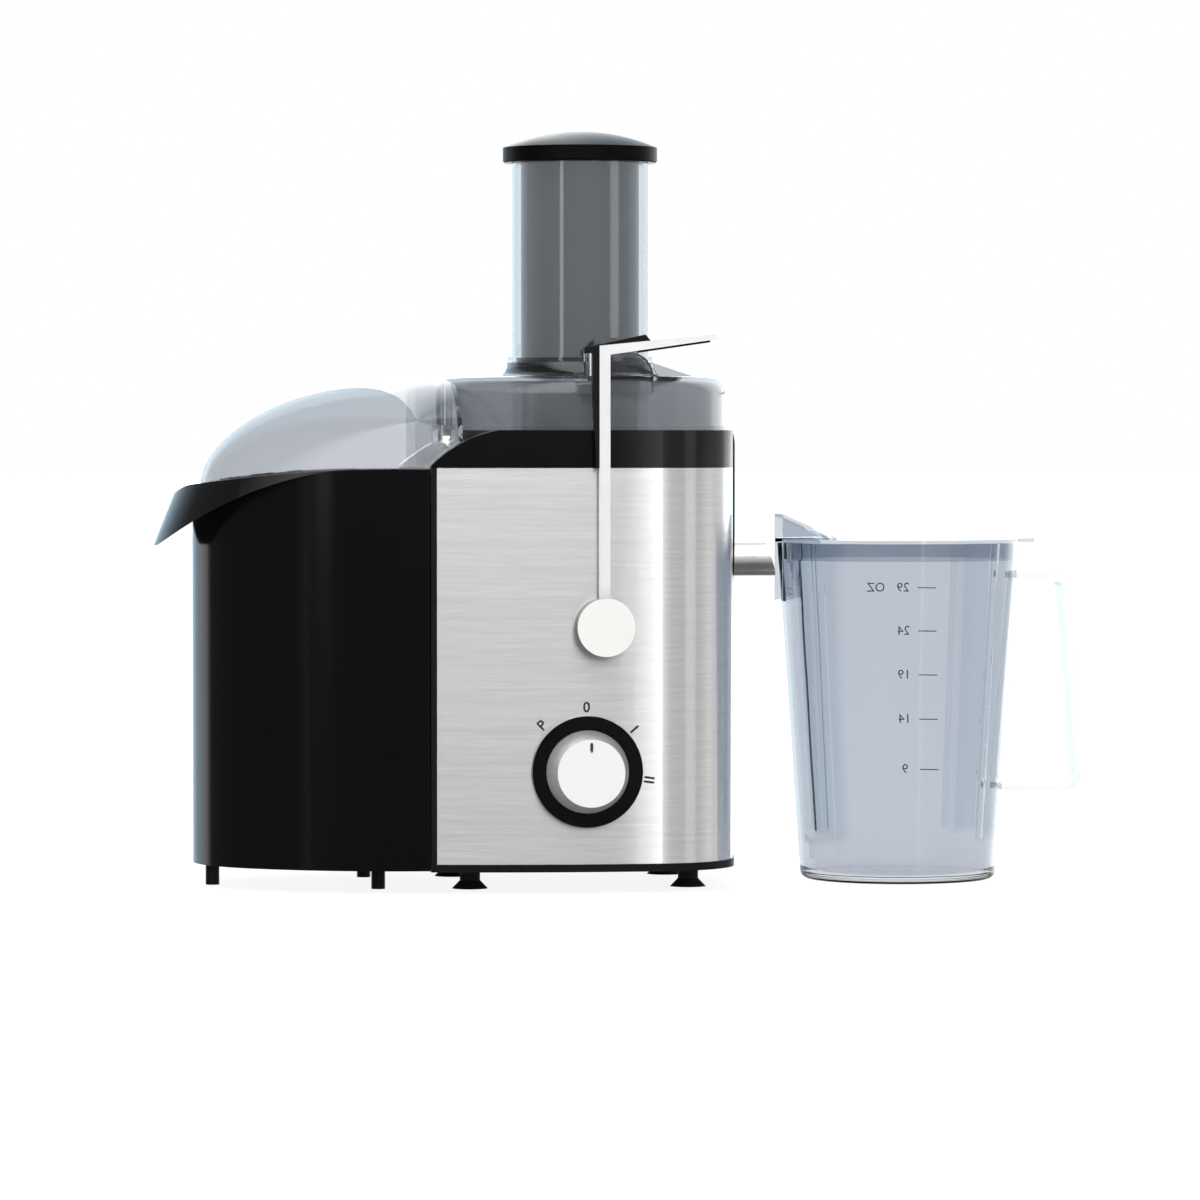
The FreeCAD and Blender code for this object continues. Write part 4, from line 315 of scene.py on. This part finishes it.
FINISHES = {
    "base_housing": MATT_BLACK,
    "steel_wrap": STEEL,
    "base_plate": MATT_BLACK,
    "suction_cups": rubber("cup_rubber", (0.012, 0.012, 0.013)),
    "base_screws": turned_metal("screw_steel", (0.5, 0.5, 0.51)),
    "top_collar": COLLAR_BLACK,
    "juice_bowl": moulded("bowl_grey", (0.16, 0.16, 0.17), 0.3),
    "spout_shield": COLLAR_BLACK,
    "juice_spout": polished("spout_silver", (0.72, 0.72, 0.73), 0.24),
    "lid": SMOKED,
    "feed_chute": CHUTE_CLEAR,
    "chute_ring": MATT_BLACK,
    "pulp_hood": CLEAR,
    "pusher_foot": FOOT_GREY,
    "pusher_body": PUSHER_GREY,
    "pusher_cap": CAP_BLACK,
    "pulp_container": GLOSS_BLACK,
    "container_posts": MATT_BLACK,
    "locking_arm": BAIL,
    "grip_pad": MATT_BLACK,
    "arm_pivot_discs": WHITE_SATIN,
    "arm_clamps": MATT_BLACK,
    "clamp_pads": CHUTE_CLEAR,
    "pivot_pins": turned_metal("pin_steel", (0.55, 0.55, 0.56)),
    "knob_bezel": GLOSS_BLACK,
    "speed_knob": KNOB_GREY,
    "knob_cap": WHITE_GLOSS,
    "rotary_switch": moulded("switch_grey", (0.10, 0.10, 0.11), 0.5),
    "knob_spindle": turned_metal("spindle_steel", (0.5, 0.5, 0.51)),
    "cord_gland": MATT_BLACK,
    "safety_switch": moulded("safety_grey", (0.10, 0.10, 0.11), 0.5),
    "stator_stack": laminations("stator_sheets"),
    "field_windings": wound_wire("field_wire"),
    "lower_bracket": polished("bracket_low", (0.5, 0.5, 0.51), 0.45),
    "upper_bracket": polished("bracket_high", (0.5, 0.5, 0.51), 0.45),
    "motor_bearings": turned_metal("bearing_steel", (0.6, 0.6, 0.61)),
    "motor_bolts": turned_metal("bolt_steel", (0.5, 0.5, 0.51)),
    "motor_mounts": rubber("mount_rubber", (0.02, 0.02, 0.02)),
    "brush_holders": moulded("holder_brown", (0.05, 0.03, 0.02), 0.5),
    "brushes": moulded("carbon", (0.02, 0.02, 0.02), 0.7),
    "shaft_seal": rubber("seal_rubber", (0.02, 0.02, 0.02)),
    "motor_shaft": turned_metal("shaft_steel", (0.6, 0.6, 0.61)),
    "armature_core": laminations("armature_sheets"),
    "armature_windings": wound_wire("armature_wire"),
    "commutator": turned_metal("commutator_copper", (0.6, 0.28, 0.14)),
    "cooling_fan": moulded("fan_white", (0.6, 0.6, 0.58), 0.5),
    "drive_coupling": MATT_BLACK,
    "basket_frame": moulded("frame_white", (0.62, 0.62, 0.62), 0.35),
    "filter_screen": punched_sheet("screen_steel"),
    "grater_disc": punched_sheet("disc_steel"),
    "basket_hub": moulded("hub_white", (0.62, 0.62, 0.62), 0.35),
    "jug_body": JUG_CLEAR,
    "jug_handle": HANDLE_CLEAR,
    "jug_lid": JUG_SMOKED,
}

for name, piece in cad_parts.items():
    piece.data.materials.clear()
    piece.data.materials.append(FINISHES[name])


# --- printed marks ---

# Round the knob: angles from +X, sizes of letters and strokes, and where they stand.
KNOB_MARKS = {"P": 134.0, "0": 90.0, "I": 41.0, "II": -8.0}
MARK_SIZE, MARK_BOLD = 7.4 * MM, 0.022
MARK_LENGTH, MARK_WIDTH = 5.6 * MM, 1.15 * MM
MARK_GAP = 4.2 * MM
PAIR_SPREAD = 1.1 * MM
POINTER_LENGTH, POINTER_WIDTH, POINTER_INSET = 5.2 * MM, 1.5 * MM, 4.2 * MM

# On the jug: each level's share of the jug's height, and places to the right of its middle.
JUG_LEVELS = {"29": 0.856, "24": 0.725, "19": 0.592, "14": 0.458, "9": 0.306}
LEVEL_SIZE = 7.0 * MM
LEVEL_LENGTH, LEVEL_WIDTH = 9.5 * MM, 0.55 * MM
LINE_PLACE, NUMBER_PLACE, UNIT_PLACE = 26 * MM, 13.5 * MM, -1.5 * MM

# How far outside its surface a drawing starts, how high its ink stands, and how long an edge may
# be before it is cut.
CLEAR_OF_KNOB, CLEAR_OF_CAP, CLEAR_OF_JUG = 20 * MM, 10 * MM, 10 * MM
INK_DEPTH, INK_EDGE = 0.06 * MM, 1.2 * MM


def surface_of(node):
    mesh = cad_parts[node].data
    return BVHTree.FromPolygons([v.co for v in mesh.vertices], [p.vertices for p in mesh.polygons])


def printed(name, shapes, node, along, finish, body):
    """Flat ink laid on a CAD node. shapes are meshes in a plane facing along, which each point
    leaves in that direction until it meets the node."""
    surface = surface_of(node)
    joined = bmesh.new()
    for shape in shapes:
        joined.from_mesh(shape)
        bpy.data.meshes.remove(shape)
    bmesh.ops.triangulate(joined, faces=joined.faces)
    long_edges = [e for e in joined.edges if e.calc_length() > INK_EDGE]
    if long_edges:
        bmesh.ops.subdivide_edges(joined, edges=long_edges, cuts=2)
        bmesh.ops.triangulate(joined, faces=joined.faces)
    for vertex in joined.verts:
        hit = surface.ray_cast(vertex.co, along)[0]
        vertex.co = hit - along * INK_DEPTH
    mesh = bpy.data.meshes.new(name)
    joined.to_mesh(mesh)
    joined.free()
    mesh.materials.append(finish)
    made = bpy.data.objects.new(name, mesh)
    bpy.context.scene.collection.objects.link(made)
    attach(made, body)


def lettering(text, size, place, bold=0.0):
    """A word as a flat mesh, centred, put where place says. bold is how far its outline grows."""
    curve = bpy.data.curves.new("word", "FONT")
    curve.body = text
    curve.size = size
    curve.align_x = "CENTER"
    curve.align_y = "CENTER"
    curve.resolution_u = 4
    curve.offset = bold * size
    holder = bpy.data.objects.new("word", curve)
    bpy.context.scene.collection.objects.link(holder)
    bpy.context.view_layer.update()
    final = holder.evaluated_get(bpy.context.evaluated_depsgraph_get())
    mesh = bpy.data.meshes.new_from_object(final)
    bpy.data.objects.remove(holder)
    bpy.data.curves.remove(curve)
    mesh.transform(place)
    return mesh


def stroke(length, width, place):
    """A flat bar with round ends, along its own x."""
    shape = bmesh.new()
    points = []
    for side in (1, -1):
        for step in range(9):
            turn = math.radians(-90 + step * 22.5)
            x = side * (length - width) / 2 + side * math.cos(turn) * width / 2
            y = side * math.sin(turn) * width / 2
            points.append(shape.verts.new((x, y, 0)))
    shape.faces.new(points)
    mesh = bpy.data.meshes.new("stroke")
    shape.to_mesh(mesh)
    shape.free()
    mesh.transform(place)
    return mesh


def facing_near(centre, turn):
    """From a flat drawing to a plane that is read from the near side, turned about its centre."""
    upright = Matrix.Rotation(math.radians(90), 4, "X")
    return Matrix.Translation(centre) @ upright @ Matrix.Rotation(turn, 4, "Z")


def facing_far(centre):
    """From a flat drawing to a plane that is read from the far side."""
    return Matrix.Translation(centre) @ Matrix.Rotation(math.pi, 4, "Z") @ Matrix.Rotation(
        math.radians(90), 4, "X")


def knob_marks():
    low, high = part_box("knob_bezel")
    centre = Vector(((low.x + high.x) / 2, low.y - CLEAR_OF_KNOB, (low.z + high.z) / 2))
    reach = (high.x - low.x) / 2 + MARK_GAP
    shapes = []
    for mark, degrees in KNOB_MARKS.items():
        angle = math.radians(degrees)
        spot = centre + Vector((math.cos(angle), 0, math.sin(angle))) * reach
        if mark in ("P", "0"):
            place = facing_near(spot, angle - math.pi / 2)
            shapes.append(lettering(mark, MARK_SIZE, place, MARK_BOLD))
            continue
        across = Vector((math.sin(angle), 0, -math.cos(angle)))
        for side in {"I": (0,), "II": (-1, 1)}[mark]:
            place = facing_near(spot + across * side * PAIR_SPREAD, angle)
            shapes.append(stroke(MARK_LENGTH, MARK_WIDTH, place))
    printed("knob_marks", shapes, "steel_wrap", Vector((0, 1, 0)), DARK_INK, "base")


def jug_scale():
    low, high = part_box("jug_body")
    middle = (low.x + high.x) / 2

    def at(right, share):
        z = low.z + (high.z - low.z) * share
        return facing_far(Vector((middle + right, high.y + CLEAR_OF_JUG, z)))

    shapes = []
    for number, share in JUG_LEVELS.items():
        shapes.append(stroke(LEVEL_LENGTH, LEVEL_WIDTH, at(LINE_PLACE, share)))
        shapes.append(lettering(number, LEVEL_SIZE, at(NUMBER_PLACE, share)))
    shapes.append(lettering("OZ", LEVEL_SIZE, at(UNIT_PLACE, JUG_LEVELS["29"])))
    printed("jug_scale", shapes, "jug_body", Vector((0, -1, 0)), SCALE_INK, "jug")


def knob_pointer():
    """The dark line on the knob's white face."""
    low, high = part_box("knob_cap")
    centre = Vector(((low.x + high.x) / 2, low.y - CLEAR_OF_CAP, high.z - POINTER_INSET))
    shapes = [stroke(POINTER_LENGTH, POINTER_WIDTH, facing_near(centre, math.pi / 2))]
    printed("knob_pointer", shapes, "knob_cap", Vector((0, 1, 0)), DARK_INK, "knob")


knob_marks()
jug_scale()
knob_pointer()


# --- studio ---

FLOOR_SIZE, FLOOR_GAP = 60, 0.2 * MM
GLOW_SHARE, GLOW_STRENGTH = 0.75, 1.2


def seen_directly(tree, ray):
    """1 for what the camera sees, by itself or through clear parts."""
    return maths(tree, "MAXIMUM", ray["Is Camera Ray"], ray["Is Transmission Ray"])


def floor():
    """A pale matt floor, seen as white by the camera and through clear parts, with its shadow."""
    finish = Finish("studio_floor", (0.9, 0.9, 0.9), 0.6, Specular_IOR_Level=0.1)
    finish.vary_roughness(finish.noise(4, 3), 0.05)
    ray = finish.node("ShaderNodeLightPath").outputs
    share = maths(finish.tree, "MULTIPLY", seen_directly(finish.tree, ray), GLOW_SHARE)
    glow = finish.node("ShaderNodeEmission", Color=(1, 1, 1, 1), Strength=GLOW_STRENGTH)
    mix = finish.node("ShaderNodeMixShader", _0=share, _1=finish.shader.outputs[0],
                      _2=glow.outputs[0])
    finish.join(mix.outputs[0], finish.tree.nodes["Material Output"].inputs["Surface"])
    place = (0, 0, cad_low.z - FLOOR_GAP)
    bpy.ops.mesh.primitive_plane_add(size=FLOOR_SIZE, location=place)
    plane = bpy.context.object
    plane.name = "floor"
    plane.visible_glossy = False
    plane.data.materials.append(finish.material)


# What gloss and metal mirror, as pairs of azimuth in degrees from -Y towards +X and brightness:
# at the horizon's height, in the narrow strip that the pusher mirrors, and higher up.
LEVEL_BANDS = (
    (-180, 1.4), (-150, 1.1), (-138, 1.6), (-128, 1.6), (-122, 0.15), (-56, 0.08), (-48, 0.1),
    (-47, 0.5), (-45, 0.5), (-44, 0.1), (-14, 0.05), (8, 0.05), (11.2, 0.3), (12.2, 4.6),
    (14, 4.6), (16.5, 0.8), (40, 0.75), (60, 0.6), (74, 0.9), (84, 1.1), (94, 0.9), (114, 1.1),
    (124, 2.4), (150, 2.4), (162, 1.4), (180, 1.4))
STRIP_BANDS = (
    (-180, 1.4), (-165, 0.9), (-145, 0.25), (-126, 0.5), (-113, 0.35), (-103, 0.05), (-92, 0.2),
    (-84, 0.08), (-62, 0.08), (-50, 0.2), (-42, 0.3), (-40.5, 4.8), (-36, 4.8), (-34.5, 0.25),
    (-30, 0.25), (-15, 0.4), (16, 0.5), (32, 0.25), (43, 0.2), (47, 3.0), (59, 3.0), (63, 0.2),
    (79, 0.15), (88, 0.45), (100, 0.45), (114, 0.3), (132, 0.45), (155, 1.0), (165, 1.4),
    (180, 1.4))
UPPER_BANDS = (
    (-180, 1.5), (-150, 1.0), (-120, 0.35), (-70, 0.35), (-45, 3.4), (7, 3.4), (10, 1.6), (14, 3.4),
    (22, 0.9), (43, 0.85), (48, 0.4), (58, 0.4), (63, 0.8), (70, 0.8), (110, 0.8), (125, 2.2),
    (150, 2.2), (165, 1.5), (180, 1.5))
LOW_TONE, DEEP_TONE = 0.55, 0.15

# The sine of the elevation where higher and lower tones set in and are full, and the strip's
# middle and half its height.
RISE, SINK, DEEP = (0.05, 0.22), (-0.07, -0.25), (-0.40, -0.65)
STRIP_MIDDLE, STRIP_REACH = 0.03, 0.022

# Ramps hold tones up to 1, so the bands are divided by this, and the world's strength is this.
BAND_SCALE = 5.0
BEHIND, BEHIND_TINT, PLAIN_TINT = 155, (0.64, 0.85, 1.0), (1.0, 1.0, 1.0)
DIFFUSE_STRENGTH = 0.55


def band_ramp(tree, place, bands):
    """A ramp of the bands over a full turn; what is behind is a little blue."""
    made = add_node(tree, "ShaderNodeValToRGB", Fac=place)
    stops = made.color_ramp.elements
    ends = {0: stops[0], len(bands) - 1: stops[1]}
    for index, (azimuth, tone) in enumerate(bands):
        stop = ends.get(index) or stops.new((azimuth + 180) / 360)
        tint = BEHIND_TINT if abs(azimuth) > BEHIND else PLAIN_TINT
        stop.color = (*[tone * part / BAND_SCALE for part in tint], 1.0)
    return made.outputs["Color"]


def mirrored_studio(tree):
    """Bands of soft boxes and dark cloth all round, and a duller tone below."""
    towards = tree.nodes.new("ShaderNodeTexCoord").outputs["Generated"]
    part = add_node(tree, "ShaderNodeSeparateXYZ", Vector=towards).outputs
    azimuth = maths(tree, "ARCTAN2", part["X"], maths(tree, "MULTIPLY", part["Y"], -1.0))
    place = between(tree, azimuth, (-math.pi, math.pi))
    level, strip, upper = (
        band_ramp(tree, place, bands) for bands in (LEVEL_BANDS, STRIP_BANDS, UPPER_BANDS))
    in_strip = maths(tree, "COMPARE", part["Z"], STRIP_MIDDLE, STRIP_REACH)
    around = mix_colours(tree, between(tree, part["Z"], RISE), level, upper)
    around = mix_colours(tree, in_strip, around, strip)
    for span, tone in ((SINK, LOW_TONE), (DEEP, DEEP_TONE)):
        share = between(tree, part["Z"], span)
        around = mix_colours(tree, share, around, [tone / BAND_SCALE] * 3)
    return around


def studio_world():
    """White where it is seen directly or through clear parts, dimmer as a lamp, and the studio's
    bands where it is mirrored."""
    world = bpy.data.worlds.new("studio")
    bpy.context.scene.world = world
    world.use_nodes = True
    tree = world.node_tree
    ray = tree.nodes.new("ShaderNodeLightPath").outputs
    seen = seen_directly(tree, ray)
    mirrored = maths(tree, "SUBTRACT", ray["Is Glossy Ray"], seen)
    mirrored.node.use_clamp = True
    plain = between(tree, seen, low=DIFFUSE_STRENGTH, high=1.0)
    strength = between(tree, mirrored, low=plain, high=BAND_SCALE)
    back = tree.nodes["Background"]
    colour = mix_colours(tree, mirrored, PLAIN_TINT, mirrored_studio(tree))
    tree.links.new(colour, back.inputs["Color"])
    tree.links.new(strength, back.inputs["Strength"])


LAMP_TARGET = (0, 0, 0.15)
LENS, SENSOR_WIDTH, CLIP_END = 177.2, 36, 100
CAMERA_PLACE = (-0.4253, -3.1025, 0.239)
CAMERA_TARGET = (-0.0113, 0, 0.1489)


def aim(made, target):
    towards = Vector(target) - made.location
    made.rotation_euler = towards.to_track_quat("-Z", "Y").to_euler()


def lamp(name, place, width, height, power):
    """A soft box that lights matt surfaces and isn't mirrored."""
    data = bpy.data.lights.new(name, "AREA")
    data.shape = "RECTANGLE"
    data.size = width
    data.size_y = height
    data.energy = power
    made = bpy.data.objects.new(name, data)
    made.location = place
    aim(made, LAMP_TARGET)
    made.visible_glossy = False
    made.visible_transmission = False
    bpy.context.scene.collection.objects.link(made)


def camera():
    """The photograph's view: a long lens, a little left of the front, looking slightly down."""
    data = bpy.data.cameras.new("camera")
    data.lens = LENS
    data.sensor_width = SENSOR_WIDTH
    data.clip_end = CLIP_END
    made = bpy.data.objects.new("camera", data)
    made.location = CAMERA_PLACE
    aim(made, CAMERA_TARGET)
    bpy.context.scene.collection.objects.link(made)
    bpy.context.scene.camera = made


floor()
studio_world()
lamp("key", (-1.4, -2.2, 2.2), width=1.4, height=1.4, power=42)
lamp("fill", (1.9, -1.6, 1.2), width=1.0, height=1.6, power=14)
camera()
bpy.context.scene.view_settings.view_transform = "Standard"
